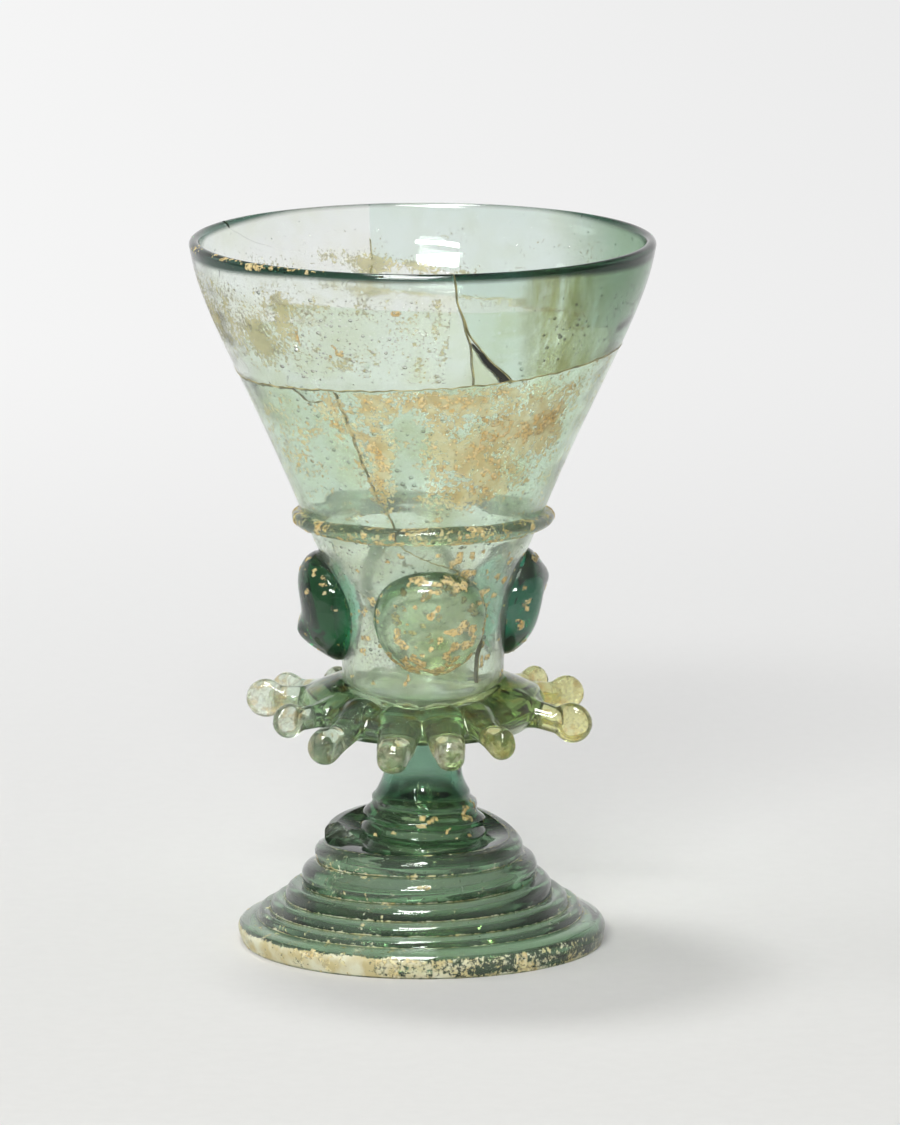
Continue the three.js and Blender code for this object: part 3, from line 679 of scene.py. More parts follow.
brown_film = film_material("brown_adhesive", (0.2, 0.19, 0.08), (0.52, 0.46, 0.22), 0.5)
crack_film = film_material("crack_dirt", (0.2, 0.2, 0.09), (0.4, 0.36, 0.18), 0.6)
# Painted shade: a near-black film for the dark open gap next to the fill.
gap_painted_shade = film_material("gap_painted_shade", (0.004, 0.006, 0.003), (0.02, 0.02, 0.01), 0.25)
main_run = np.linspace(-100, 100, 420)
front_run = np.linspace(0, 1, 120)
front_height = mix(funnel_height(curve(MAIN_BREAK, FORK_BEARING)), LIP_TOP - FILM_DEPTH, front_run)
rear_height = mix(rear_break(REAR_BREAK_AT_RIM), REAR_FILM_TOP, np.linspace(0, 1, 60))
films = add_piece("break_films", [
    break_line(main_run, main_break(main_run), 0.12, 0.24),
    break_line(front_left(front_run), front_height, 0.11, 0.16),
    break_line(front_right(front_run), front_height, 0.11, 0.26),
    break_line(REAR_BREAK_AT_RIM, rear_height, 0.05, 0.14),
], sharp=50)
finish_piece(films, brown_film)
cracks = add_piece("wall_cracks", [
    break_line(*path_through(LOWER_CRACK, 260), 0.07, 0.2),
    break_line(*path_through(SIDE_CRACK, 40), 0.05, 0.12),
    break_line(*path_through(REAR_CRACK, 40), 0.06, 0.14),
], sharp=50)
finish_piece(cracks, crack_film)
# A near-black wedge of painted shade fills the open gap next to the fill, where it looks dark.
painted_shade_wedge = add_piece("painted_shade_wedge", [shard_shape(
    lambda v: front_right(v * FILL_TOP) - wedge_turn(v) - HALF_CRACK_TURN,
    lambda v: front_right(v * FILL_TOP) - 0.2 * wedge_turn(v),
    lambda b: main_break(b) + 2 * HALF_CRACK,
    lambda b: np.full_like(b, fill_top),
)])
finish_piece(painted_shade_wedge, gap_painted_shade, "resin_fill")

# The trail: a thread of glass laid once round the waist while hot, flattened against the wall. Its section is
# half an ellipse, sunk a little into the wall.
TRAIL_HEIGHT = 57.5
TRAIL_DEPTH = 2.5
TRAIL_PROUD = 1.9
TRAIL_TILT = 0.35
TRAIL_COLUMNS = 300
TRAIL_ROWS = 22
SUNK = 0.12


def trail_surface(bearing, angle):
    """The trail's outside: half an ellipse from its underside (-90) to its top (90), swelling a little."""
    b, a = np.radians(bearing), np.radians(angle)
    middle = TRAIL_HEIGHT + TRAIL_TILT * np.cos(b) + 0.05 * np.sin(3 * b) + 0.04 * np.sin(8 * b)
    swell = 1 + 0.05 * np.sin(2 * b + 1) + 0.04 * np.sin(9 * b)
    z = middle + TRAIL_DEPTH / 2 * swell * np.sin(a)
    return place(bearing, outer_radius(z) - SUNK + TRAIL_PROUD * swell * np.cos(a), z)


trail_turn = np.linspace(0, 360, TRAIL_COLUMNS, endpoint=False)[:, None]
trail_loops = trail_surface(trail_turn, np.linspace(-90, 90, TRAIL_ROWS)[None, :])
trail = add_piece("collar_trail_glass", [ring_shape(trail_loops)], sharp=60)
trail_glass = glass_material("trail_glass", (0.32, 0.2, 0.32), spacing=1.1, stain=0.5)
finish_piece(trail, trail_glass, "trail_glass", "collar_trail")

# The prunts: four blobs of glass dropped on the cup's wall, each drawn out to a small nib. Each has a bearing
# and the nib's height over its middle.
PRUNT_RADIUS = 7.3
PRUNT_HEIGHT = 45.5
PRUNT_PROUD = 4.8
PRUNT_EDGE = 0.9
NIB_RADIUS = 2
NIB_PROUD = 1.3
PRUNT_SPOKES = 96
PRUNT_RINGS = 26
PRUNTS = {
    "prunt_front": (5, -3.6), "prunt_right": (112, 3), "prunt_rear": (190, -3.4), "prunt_left": (-92, -3.6),
}


def prunt_surface(bearing, nib, spoke, share, lift=1.0):
    """A place on a prunt: out along a spoke by a share of its radius, and proud of the wall by a dome with a
    steep edge and a nib off its middle. A lift of 0 gives its back."""
    across = PRUNT_RADIUS * share * np.cos(spoke)
    z = PRUNT_HEIGHT + PRUNT_RADIUS * share * np.sin(spoke)
    dome = mix(PRUNT_EDGE, PRUNT_PROUD, (1 - share**3) ** 0.8)
    nib_gap = np.hypot(across, z - PRUNT_HEIGHT - nib) / NIB_RADIUS
    proud = dome + NIB_PROUD * np.exp(-(nib_gap**2)) * smooth(4 * (1 - share))
    seat = outer_radius(z) - SUNK
    return place(bearing + np.degrees(across / outer_radius(PRUNT_HEIGHT)), seat + lift * proud, z)


def distance(tree, x, y):
    """The root of x^2 + y^2."""
    flat = node(tree, "ShaderNodeCombineXYZ", {"X": x, "Y": y}).outputs[0]
    return node(tree, "ShaderNodeVectorMath", {0: flat}, operation="LENGTH").outputs["Value"]


def prunt_painted_rim_shade(tree, spot):
    """Painted shade on the front prunt: a ring of darker green round its middle, for the dark rim its dome
    shows, weaker at its foot.
    """
    side = number(tree, "ADD", spot["X"], -1.2 * MM)
    up = number(tree, "ADD", spot["Z"], -PRUNT_HEIGHT * MM)
    ring = ramp(tree, distance(tree, side, up), 5.4 * MM, 6.9 * MM, eased=True)
    # The painted shade is weaker on the prunt's lower side.
    strong = number(tree, "MULTIPLY", ring, ramp(tree, up, -5 * MM, 3 * MM, 0.35))
    return blend(tree, strong, (0.98, 1, 0.93), (0.36, 0.52, 0.4))


# Painted light and shade: the four prunts are of one glass, each made as pale or dark as it looks from the
# front: pale in front, nearly clear at the rear where it is seen through the cup, darker at the right and
# darkest at the left, which is seen edge on.
PRUNT_GLASS = {
    "prunt_front": glass_material(
        "lit_front_prunt_glass", (0.035, 0.014, 0.05), veil=0.1, spacing=1.3, stain=0.6, rough=(0.04, 0.16),
        shade=prunt_painted_rim_shade,
    ),
    "prunt_right": glass_material("prunt_glass", (0.5, 0.17, 0.23), spacing=1.3),
    "prunt_rear": glass_material("lit_rear_prunt_glass", (0.03, 0.015, 0.03), spacing=1.3, rough=(0.04, 0.16)),
    "prunt_left": glass_material("shaded_left_prunt_glass", (0.66, 0.19, 0.3), veil=0.015, spacing=1.3),
}
spokes = (np.arange(PRUNT_SPOKES) * 2 * np.pi / PRUNT_SPOKES)[:, None]
shares = np.linspace(0, 1, PRUNT_RINGS)[None, :]
for prunt_name, (bearing, nib) in PRUNTS.items():
    back = prunt_surface(bearing, nib, spokes, shares, 0)
    front = prunt_surface(bearing, nib, spokes, shares)[:, ::-1]
    piece = add_piece(prunt_name + "_glass", [ring_shape(np.concatenate([back, front], 1))], sharp=75)
    finish_piece(piece, PRUNT_GLASS[prunt_name], "prunt_glass", prunt_name)

# The collar: a ring of glass dropped round the cup's base and pinched with pincers into thirteen toes. Each
# toe has a bearing, how far it droops, its size and the width of its pad.
COLLAR_TOP = CUP_UNDERSIDE + 3.2
COLLAR_SADDLE = 1.2
COLLAR_BOTTOM = CUP_UNDERSIDE - 2.7
COLLAR_RADIUS = 16.4
SHOULDER_DROP = 1.9
TOE_HEIGHT = CUP_UNDERSIDE + 0.5
TOE_START = 12.5
TOE_REACH = 20.9
TOE_ROOT_HEIGHT = 5.2
TOE_ROOT_WIDTH = 7
TOE_NECK_HEIGHT = 3.3
TOE_NECK_SPREAD = 0.6
TOE_NECK_BACK = 1.5
TOE_PAD_HEIGHT = 5
TOE_PRINT = 0.5
TOE_ARM_STEPS = 7
TOE_PAD_STEPS = 18
TOE_POINTS = 28
TOES = [
    (-94, -0.2, 1.05, 3), (-58.5, 0.4, 0.95, 3), (-38, 2.7, 1, 4.4), (-11, 3.2, 0.95, 5.4),
    (10, 2.8, 0.95, 5), (30, 2, 0.9, 4.2), (69.5, 1.4, 1.1, 3.2), (113, 0.6, 1, 3), (134, 0.4, 0.95, 3),
    (160, 0.8, 1, 3.4), (187, 1.6, 1, 4.4), (213, 1.2, 1, 4), (240, 0.6, 1, 3),
]
STEM_TOP_RADIUS = 7.4
SKIRT_COLUMNS = 180
FUSE_SIZE = 0.26


def toe_shape(bearing, droop, scale, pad_width):
    """One toe: sections across its path, from inside the ring, along a drooping arm to a round pad on edge
    with the pincers' print in both its sides."""
    start = TOE_START
    pad = TOE_PAD_HEIGHT * scale / 2
    centre = TOE_REACH + TOE_PAD_HEIGHT * (scale - 1) / 2
    neck = centre - pad * TOE_NECK_BACK
    arm_radius = np.linspace(start, neck, TOE_ARM_STEPS + 1)[:-1]
    radius = np.r_[arm_radius, centre + pad * np.sin(np.linspace(-1, np.pi / 2, TOE_PAD_STEPS))][:, None]
    share = (radius - centre) / pad
    circle = np.sqrt(np.maximum(0, 1 - share**2))
    along = smooth((radius - start) / (neck - start))
    arm = mix(TOE_ROOT_HEIGHT, TOE_NECK_HEIGHT, along) / 2
    high = np.where(share > 0, pad * circle, np.maximum(arm * scale, pad * circle))
    taper = np.where(share > 0, np.sqrt(circle), 1)
    web = mix(TOE_ROOT_WIDTH, pad_width + TOE_NECK_SPREAD, along)
    wide = taper * scale * mix(web, pad_width, smooth((radius - neck) / pad)) / 2
    press = np.where(share > -0.6, TOE_PRINT * circle, 0)
    sag = droop * smooth((radius - start) / (centre - start))
    angle = (np.arange(TOE_POINTS) * 2 * np.pi / TOE_POINTS)[None, :]
    side = np.cos(angle)
    across = wide * side - np.sign(side) * press * side**4
    points = place(bearing, radius, TOE_HEIGHT - sag + high * np.sin(angle)) + place(bearing + 90, across, 0)
    flat = points.reshape(-1, 3)
    rows, columns = points.shape[:2]
    ends = np.concatenate([flat, points[:1].mean(1), points[-1:].mean(1)])
    i = np.arange(columns)
    first = np.stack([i, (i + 1) % columns, np.full(columns, len(flat)), np.full(columns, len(flat))], -1)
    last = np.stack([i, (i + 1) % columns], -1) + (rows - 1) * columns
    last = np.concatenate([last[:, ::-1], np.full((columns, 2), len(flat) + 1)], 1)
    faces = np.concatenate([grid_faces(rows, columns, False, True), first[:, ::-1], last[:, ::-1]])
    return ends, outwards(ends, faces)


def collar_skirt_shape():
    """The skirt: a section round the cup's base that slopes down and out, higher at the sides."""
    b = np.linspace(0, 360, SKIRT_COLUMNS, endpoint=False)
    top = COLLAR_TOP - COLLAR_SADDLE * np.cos(2 * np.radians(b))
    shoulder = top - SHOULDER_DROP
    under = STEM_TOP_RADIUS - 0.6
    low = mix(COLLAR_BOTTOM, shoulder, 0.4)
    high = mix(COLLAR_BOTTOM, shoulder, 0.7)
    section = [
        (under, COLLAR_BOTTOM), (mix(under, COLLAR_RADIUS, 0.75), COLLAR_BOTTOM), (COLLAR_RADIUS - 0.4, low),
        (COLLAR_RADIUS, high), (COLLAR_RADIUS - 0.9, shoulder),
        (mix(CUP_RADIUS, COLLAR_RADIUS, 0.4), mix(shoulder, top, 0.6)),
        (outer_radius(top) + 0.3, top), (outer_radius(top) - 0.4, top - 0.3),
        (float(outer_radius(corner_height)) - 0.5, mix(top, COLLAR_BOTTOM, 0.5)),
        (under, CUP_UNDERSIDE + 0.4),
    ]
    return ring_shape(np.stack([place(b, radius, height) for radius, height in section], 1))


collar_shapes = [collar_skirt_shape()] + [toe_shape(*toe) for toe in TOES]
collar = add_piece("pincered_collar_glass", collar_shapes, sharp=180)
remesh = collar.modifiers.new("fuse", "REMESH")
remesh.mode = "VOXEL"
remesh.voxel_size = FUSE_SIZE * MM
soften = collar.modifiers.new("soften", "SMOOTH")
soften.factor = 0.5
soften.iterations = 6
bpy.context.view_layer.update()
fused = bpy.data.meshes.new_from_object(collar.evaluated_get(bpy.context.evaluated_depsgraph_get()))
collar.modifiers.clear()
collar.data = fused
fused.shade_smooth()


def collar_tint_and_painted_shade(tree, spot):
    """The collar's colours by place: teal on the left, yellow-green on the right, painted shade near the cup
    that is deep at the sides and light in front, and ochre stains on the toes."""
    hue = blend(tree, ramp(tree, spot["X"], -8 * MM, 9 * MM), (0.93, 0.98, 0.93), (0.95, 0.9, 0.55))
    # Painted shade: dark near the cup at the sides, light in front.
    beside = ramp(tree, number(tree, "ABSOLUTE", spot["X"]), 6 * MM, 10 * MM)
    root = blend(tree, beside, (0.8, 0.9, 0.78), (0.34, 0.4, 0.33))
    outer = ramp(tree, distance(tree, spot["X"], spot["Y"]), 13 * MM, 17 * MM, eased=True)
    toned = blend(tree, 1, hue, blend(tree, outer, root, CLEAR), "MULTIPLY")
    patch = ramp(tree, cloud(tree, 620, 3), 0.54, 0.66, 0, 0.8)
    return blend(tree, patch, toned, (0.8, 0.52, 0.2))


collar_glass = glass_material(
    "collar_glass", (0.055, 0.032, 0.062), veil=0.06, spacing=1.5, share=0.2, stain=0.2, shade=collar_tint_and_painted_shade
)
finish_piece(collar, collar_glass, "collar_glass", "pincered_collar")

# The stem: a hollow neck of glass, narrow under the cup and belled out over the foot. Its lower part is lumpy
# where the foot's thread begins.
STEM_WAIST_RADIUS = 5.2
STEM_WAIST_HEIGHT = 23.7
STEM_BELL_RADIUS = 8.3
STEM_BELL_HEIGHT = 15.4
STEM_WALL = 1.5
LEDGE_HEIGHT = 13.7
STEM_COLUMNS = 160
STEM_ROWS = 70
WINDING_TOP = 20.6
WINDING_FADE = 1.2
WINDING_RISE = 2.1


def stem_radius(z):
    """The stem's outside: above its waist it widens with the square of the height, and below in an S."""
    rise = np.clip((z - STEM_WAIST_HEIGHT) / (CUP_UNDERSIDE - STEM_WAIST_HEIGHT), 0, 1)
    fall = smooth((STEM_WAIST_HEIGHT - z) / (STEM_WAIST_HEIGHT - STEM_BELL_HEIGHT))
    return mix(STEM_WAIST_RADIUS, STEM_TOP_RADIUS, rise**2) + (STEM_BELL_RADIUS - STEM_WAIST_RADIUS) * fall


def stem_winding(bearing, z):
    """How far the stem's lower part stands proud: lumps that climb round it like the foot's thread."""
    lumps = 0.3 * np.sin(2 * np.pi * (z / WINDING_RISE + bearing / 360))
    lumps = lumps + 0.12 * np.sin(7 * np.radians(bearing) + z)
    return smooth((WINDING_TOP - z) / WINDING_FADE) * (lumps - 0.1)


stem_turn = np.linspace(0, 360, STEM_COLUMNS, endpoint=False)[:, None]
stem_z = np.linspace(LEDGE_HEIGHT - SUNK, CUP_UNDERSIDE + SUNK, STEM_ROWS)[None, :]
uneven = 0.06 * np.sin(2 * np.radians(stem_turn) + 0.3 * stem_z)
uneven = uneven + 0.04 * np.sin(5 * np.radians(stem_turn) - stem_z)
stem_out_radius = stem_radius(stem_z) + 0.5 * uneven + stem_winding(stem_turn, stem_z)
stem_out = place(stem_turn, stem_out_radius, stem_z)
stem_in = place(stem_turn, stem_radius(stem_z) - STEM_WALL + uneven, stem_z)[:, ::-1]
stem = add_piece("stem_glass", [ring_shape(np.concatenate([stem_out, stem_in], 1))])


def stem_shade(tree, spot):
    """The stem's colour by height: a dark band, and below it the paler green of the foot's thread."""
    band = blend(tree, ramp(tree, spot["Z"], 20.5 * MM, 23 * MM, eased=True), (0.1, 0.2, 0.15), CLEAR)
    return blend(tree, ramp(tree, spot["Z"], 20.6 * MM, 19.6 * MM), band, (0.55, 0.66, 0.48))


stem_glass = glass_material("stem_glass", (0.56, 0.31, 0.43), spacing=1.6, share=0.2, shade=stem_shade)
finish_piece(stem, stem_glass, "stem_glass", "stem")

# The foot: one thick thread wound down a hollow cone, each turn fused to the one above it. The groove above
# the thread has a radius and a height for some of its turns.
GROOVE = [
    (0, 11.4, 15.8), (0.24, 10.2, 17.3), (0.5, 11.4, 14.3), (0.74, 11.9, 14.1), (1, 13.2, 13.5),
    (1.5, 13.5, 11.9), (2, 14.2, 10.9), (2.74, 15.4, 8.1), (4, 18.6, 5.8), (5, 20.6, 4.4), (6, 22.3, 3.3),
    (6.12, 22.5, 3.2), (6.4, 24.1, 0), (7, 24.1, 0),
]
THREAD_TURNS = 7
THREAD_START = -95
THREAD_BULGE = 0.3
RIM_BULGE = 0.46
REST_RADIUS = 24.1
REST_WIDTH = 1.4
FOOT_WALL = 2.2
THROAT_RADIUS = 6.2
STEM_SOCKET_RADIUS = 8.9
FOOT_COLUMNS = 240
THREAD_ROWS = 24
HOLLOW_ROWS = 30
LEDGE_POINTS = 2


def groove(turn):
    """Radius and height of the groove above the thread, by turns from its start."""
    radius = curve([(t, r) for t, r, _ in GROOVE], turn)
    height = curve([(t, z) for t, _, z in GROOVE], turn)
    return radius, height


def thread_surface(turn, across):
    """The thread's outside: from its upper groove (0) to the groove one turn later (1), bulging outwards as
    half a sine wave, with three shallow furrows drawn along it."""
    r0, z0 = groove(turn)
    r1, z1 = groove(np.minimum(THREAD_TURNS, turn + 1))
    bulge = mix(THREAD_BULGE, RIM_BULGE, smooth(turn - (THREAD_TURNS - 2))) * np.sin(np.pi * across)
    wobble = 1 + 0.06 * np.sin(9 * turn) + 0.05 * np.sin(23 * turn)
    drawn = 0.012 * (1 - np.cos(6 * np.pi * across)) * (1 + 0.5 * np.sin(31 * turn))
    radius = mix(r0, r1, across) - (z1 - z0) * bulge * wobble - drawn
    height = mix(z0, z1, across) + (r1 - r0) * bulge * wobble - drawn
    return place(THREAD_START - 360 * turn, radius, np.maximum(height, 0))


def foot_shape():
    """The foot, closed: its ledge under the stem, the thread's turns, the resting ring and the hollow. The
    last column meets the first one turn further down, which leaves the thread's blunt start free."""
    part = (np.arange(FOOT_COLUMNS) / FOOT_COLUMNS)[:, None]
    bearing = THREAD_START - 360 * part
    rows = THREAD_TURNS * THREAD_ROWS
    k = np.arange(rows)[None, :]
    thread = thread_surface(part + k // THREAD_ROWS, (k % THREAD_ROWS) / THREAD_ROWS)
    t = np.linspace(0, 1, HOLLOW_ROWS)[None, :-1]
    radius, height = groove(mix(THREAD_TURNS - 1, 1, t))
    hollow = place(bearing, radius - FOOT_WALL, height - FOOT_WALL * 0.4)
    ledge = [place(bearing, radius, LEDGE_HEIGHT) for radius in (THROAT_RADIUS, STEM_SOCKET_RADIUS)]
    rest = [place(bearing, radius, 0) for radius in (REST_RADIUS, REST_RADIUS - REST_WIDTH)]
    throat = place(bearing, THROAT_RADIUS, LEDGE_HEIGHT - FOOT_WALL)
    loops = np.concatenate([*ledge, thread, *rest, hollow, throat], 1)
    size = loops.shape[1]
    points = loops.reshape(-1, 3)
    sides = grid_faces(FOOT_COLUMNS, size, False, True)
    here = (FOOT_COLUMNS - 1) * size
    i = np.arange(rows)
    first = LEDGE_POINTS
    shifted = np.minimum(first + i + THREAD_ROWS, first + rows)
    shifted_next = np.minimum(first + i + 1 + THREAD_ROWS, first + rows)
    seam = np.stack([here + first + i, here + first + i + 1, shifted_next, shifted], -1)
    j = np.arange(first + rows, size)
    seam_low = np.stack([here + j, here + (j + 1) % size, (j + 1) % size, j], -1)
    joint = first + THREAD_ROWS
    seam_top = np.array([[here, here + 1, 1, 0], [here + 1, here + first, joint, 1]])
    i = np.arange(1, joint - 1)
    blunt = np.stack([np.full(len(i), joint), i + 1, i, i], -1)[:, ::-1]
    faces = np.concatenate([sides, seam, seam_low, seam_top, blunt])
    return points, outwards(points, faces)


foot_points, foot_faces = foot_shape()
thread_place = np.arange(THREAD_TURNS * THREAD_ROWS) % THREAD_ROWS / THREAD_ROWS
# Painted shade along the grooves between the turns, stored as the foot's cover.
groove_painted_shade = np.zeros((FOOT_COLUMNS, len(foot_points) // FOOT_COLUMNS))
groove_painted_shade[:, LEDGE_POINTS:LEDGE_POINTS + len(thread_place)] = (
    np.exp(-((thread_place / 0.09) ** 2)) + np.exp(-(((1 - thread_place) / 0.13) ** 2))
)
foot = add_piece("foot_glass", [(foot_points, foot_faces)], sharp=70, cover=[groove_painted_shade.ravel()])


def foot_tint_and_groove_shade(tree, spot):
    """The foot's green: darker at its top, and painted shade along the grooves between the turns of its
    thread.
    """
    body = blend(tree, ramp(tree, spot["Z"], 14 * MM, 18 * MM), (0.86, 0.94, 0.85), (0.5, 0.64, 0.5))
    return blend(tree, stored(tree, "cover"), body, (0.16, 0.26, 0.17))


foot_glass = glass_material(
    "foot_glass", (0.2, 0.13, 0.19), veil=0.05, spacing=1.2, share=0.3, shade=foot_tint_and_groove_shade
)
finish_piece(foot, foot_glass, "foot_glass", "foot")

# The crust: ochre flakes left by long burial, thickest in front on the body under the main break, in spots on
# the cup, the trail, the prunts and the stem, and in a broken band round the foot's rim. A patch has a
# bearing, a height, how far it spreads both ways and how thick it lies (below 0: how bare it is).
CRUST_PATCHES = [
    (29, 72, 21, 5, 0.56), (8, 77.3, 26, 1.7, 0.5), (50, 74, 9, 5, 0.33), (-17, 72.5, 7, 5, 0.5),
    (-15, 66.5, 5, 4, 0.5), (-30, 74.5, 6, 3, 0.4), (12, 63.4, 10, 1.8, 0.42), (31, 64.8, 12, 2.4, 0.4),
    (5, 69, 22, 4, 0.28), (-6.4, 66.7, 5, 2.5, -0.5), (46, 62, 9, 2, -0.3), (-6, 73, 5, 3, -0.35),
    (14, 72, 3, 1.5, -0.3), (-52, 70, 15, 7, 0.17),
]
RIM_PATCHES = [(-36, 86, 5, 1.6, 0.5), (-24, 84, 8, 1.5, 0.3), (-70, 85, 14, 3, 0.2), (-6, 90, 3, 0.6, 0.5)]
BODY_SPAN = (59.5, 81.5)
CUP_SPAN = (36.5, 55.5)
CRUST_STEP = 0.15
CRUST_SUNK = 0.04
AXIS_MIDDLE = (0, 0, 50)


def skin_shape(points, outward, on, lift):
    """A thin closed skin over the part of a gridded surface that is on, and the numbers of the points it uses
    of its top and then its back. The top is lifted off the glass, but dives under it at the skin's edge. The
    back lies in the glass, and shares the edge's points with the top."""
    rows, columns = on.shape
    kept = on[:-1, :-1] | on[1:, :-1] | on[:-1, 1:] | on[1:, 1:]
    free = np.pad(~kept, 1, constant_values=True)
    edge = free[:-1, :-1] | free[1:, :-1] | free[:-1, 1:] | free[1:, 1:]
    top = points + outward * np.where(edge, -CRUST_SUNK, lift)[..., None]
    back = points - outward * CRUST_SUNK
    layers = np.concatenate([top.reshape(-1, 3), back.reshape(-1, 3)])
    layers[:, 2] = np.clip(layers[:, 2], 0, LIP_TOP)
    numbers = np.arange(rows * columns).reshape(rows, columns)
    lower = np.where(edge, numbers, numbers + rows * columns)
    quads = lambda n: np.stack([n[:-1, :-1], n[:-1, 1:], n[1:, 1:], n[1:, :-1]], -1)[kept]
    faces = np.concatenate([quads(numbers), quads(lower)[:, ::-1]])
    normal = np.cross(points[1:, :-1] - points[:-1, :-1], points[:-1, 1:] - points[:-1, :-1])
    if np.sum(normal * outward[:-1, :-1]) > 0:
        faces = faces[:, ::-1]
    used, renumbered = np.unique(faces, return_inverse=True)
    return (layers[used], renumbered.reshape(-1, 4)), used


def crust_shape(points, outward, cover, rise):
    """Flakes on a gridded surface. Where cover is above 0 the top stands proud of the glass by up to rise."""
    grain = 0.35 + 0.65 * smooth(cover * 6) * (0.5 + noise(points, 0.3, 7))
    return skin_shape(points, outward, cover > 0, np.where(cover > 0, rise * grain, -CRUST_SUNK))[0]


def facing_out(points, inside):
    """Unit normals of a gridded surface, turned away from a point or line of points inside it."""
    normal = np.cross(np.gradient(points, axis=0), np.gradient(points, axis=1))
    normal /= np.linalg.norm(normal, axis=-1, keepdims=True) + 1e-9
    side = np.sign(np.sum(normal * (points - inside), axis=-1, keepdims=True))
    return normal * np.where(side == 0, 1, side)


def speckle(points, sizes, strengths, seed):
    """Noise of several sizes added up, each about 0 and as strong as given."""
    return sum(k * (noise(points, size, seed + i) - 0.5) for i, (size, k) in enumerate(zip(sizes, strengths)))


def bump_hill(bearing, height, middle, spread):
    """A smooth hill of 1 at a middle (bearing, height) that falls off over its spread."""
    return np.exp(-(((bearing - middle[0]) / spread[0]) ** 2) - ((height - middle[1]) / spread[1]) ** 2)


def hills(bearing, height, patches, wider=1):
    """The hills of some patches added up, perhaps wider than they are listed."""
    return sum(
        strength * bump_hill(bearing, height, (b, z), (wide * wider, high * wider))
        for b, z, wide, high, strength in patches
    )


def crust_material(name, dark, pale, dusty):
    """Burial crust: matt, tan to ochre with paler dust, rough to the touch."""
    material, tree = blank_material(name)
    fine = cloud(tree, 1500, 3)
    colour = blend(tree, ramp(tree, cloud(tree, 260, 4), 0.38, 0.62), dark, pale)
    dusted = blend(tree, ramp(tree, fine, 0.48, 0.66, 0, 0.8), colour, dusty)
    holes = ramp(tree, cloud(tree, 2100, 2), 0.38, 0.55, 0.3, 0.92)
    matt_surface(tree, dusted, 0.85, fine, 0.08, holes)
    return material


def wall_grid(bearings, heights, step, inside=False):
    """Points a step apart on the outside or the inside of the wall, their normals, bearings and heights."""
    width = math.radians(bearings[1] - bearings[0]) * float(outer_radius(sum(heights) / 2))
    b = np.linspace(*bearings, round(width / step))[None, :]
    z = np.linspace(*heights, round((heights[1] - heights[0]) / step))[:, None]
    depth = thickness(z) - ripple(b, z) if inside else 0
    points = place(b, outer_radius(z) - depth, z)
    return points, facing_out(points, AXIS_MIDDLE) * (-1 if inside else 1), b, z


def wall_crust(bearings, heights, cover_at, rise):
    """Flakes on the outside of the wall over a range of bearings and heights."""
    points, outward, b, z = wall_grid(bearings, heights, CRUST_STEP)
    return crust_shape(points, outward, cover_at(points, b, z), rise)


def add_crust(name, shapes, material):
    """One object of flakes."""
    finish_piece(add_piece(name, shapes, sharp=80), material)


def body_cover(points, b, z):
    """How the crust lies on the body: in patches, cut off sharply at the main break."""
    under_break = smooth((main_break(b) - 0.15 - z) / 0.3)
    flakes = hills(b, z, CRUST_PATCHES) - 0.62 + speckle(points, (3.2, 0.9, 0.4), (0.35, 0.5, 0.7), 41)
    return flakes * under_break - 0.3 * (1 - under_break)


def cup_cover(points, b, z):
    """Scattered spots of crust on the cup, more of them on the right of the front."""
    near = hills(b, z, [(24, 50, 28, 5, 0.26), (-25, 46, 20, 6, 0.1)])
    return near - 0.37 + speckle(points, (4, 0.95, 0.4), (0.3, 0.9, 0.25), 51)


def rim_cover(points, b, z):
    """Thin flakes on the left piece of the rim, above the main break."""
    above = smooth((z - main_break(b) - 0.15) / 0.3)
    flakes = hills(b, z, RIM_PATCHES) - 0.5 + speckle(points, (3, 1, 0.5), (0.35, 0.5, 0.4), 45)
    return flakes * above - 0.3 * (1 - above)


def lip_cover(points, b, a):
    """Gold-brown specks along the left of the lip's front, by bearing and by angle round the lip."""
    near = hills(b, a, [(-48, 50, 44, 70, 0.34)])
    return near - 0.42 + speckle(points, (1.5, 0.6, 0.35), (0.5, 0.5, 0.4), 55)


crust = crust_material("burial_crust", (0.62, 0.43, 0.16), (0.77, 0.62, 0.3), (0.83, 0.73, 0.44))
lip_b = np.linspace(-105, 5, 360)[None, :]
lip_a = np.linspace(-20, 160, 22)[:, None]
lip_turn = np.radians(lip_a)
half_lip = LIP_THICKNESS / 2
lip_middle = outer_radius(LIP_HEIGHT) - half_lip
lip_points = place(lip_b, lip_middle + half_lip * np.cos(lip_turn), LIP_HEIGHT + half_lip * np.sin(lip_turn))
lip_outward = facing_out(lip_points, place(lip_b, lip_middle, LIP_HEIGHT))
add_crust("rim_crust", [
    wall_crust((-90, 6), (80, 91.5), rim_cover, 0.06),
    crust_shape(lip_points, lip_outward, lip_cover(lip_points, lip_b, lip_a), 0.05),
], crust)
add_crust("body_crust", [wall_crust((-75, 75), BODY_SPAN, body_cover, 0.07)], crust)
add_crust("cup_crust", [wall_crust((-150, 150), CUP_SPAN, cup_cover, 0.1)], crust)

trail_b = np.linspace(-179, 179, 640)[None, :]
trail_a = np.linspace(-80, 88, 28)[:, None]
trail_points = trail_surface(trail_b, trail_a)
trail_outward = facing_out(trail_points, place(trail_b, outer_radius(TRAIL_HEIGHT), TRAIL_HEIGHT))
trail_cover = speckle(trail_points, (5, 1, 0.5), (0.35, 0.8, 0.35), 61) - 0.22
trail_cover = trail_cover + hills(trail_b, trail_a, [(15, -55, 45, 30, 0.25)])
add_crust("trail_crust", [crust_shape(trail_points, trail_outward, trail_cover, 0.09)], crust)

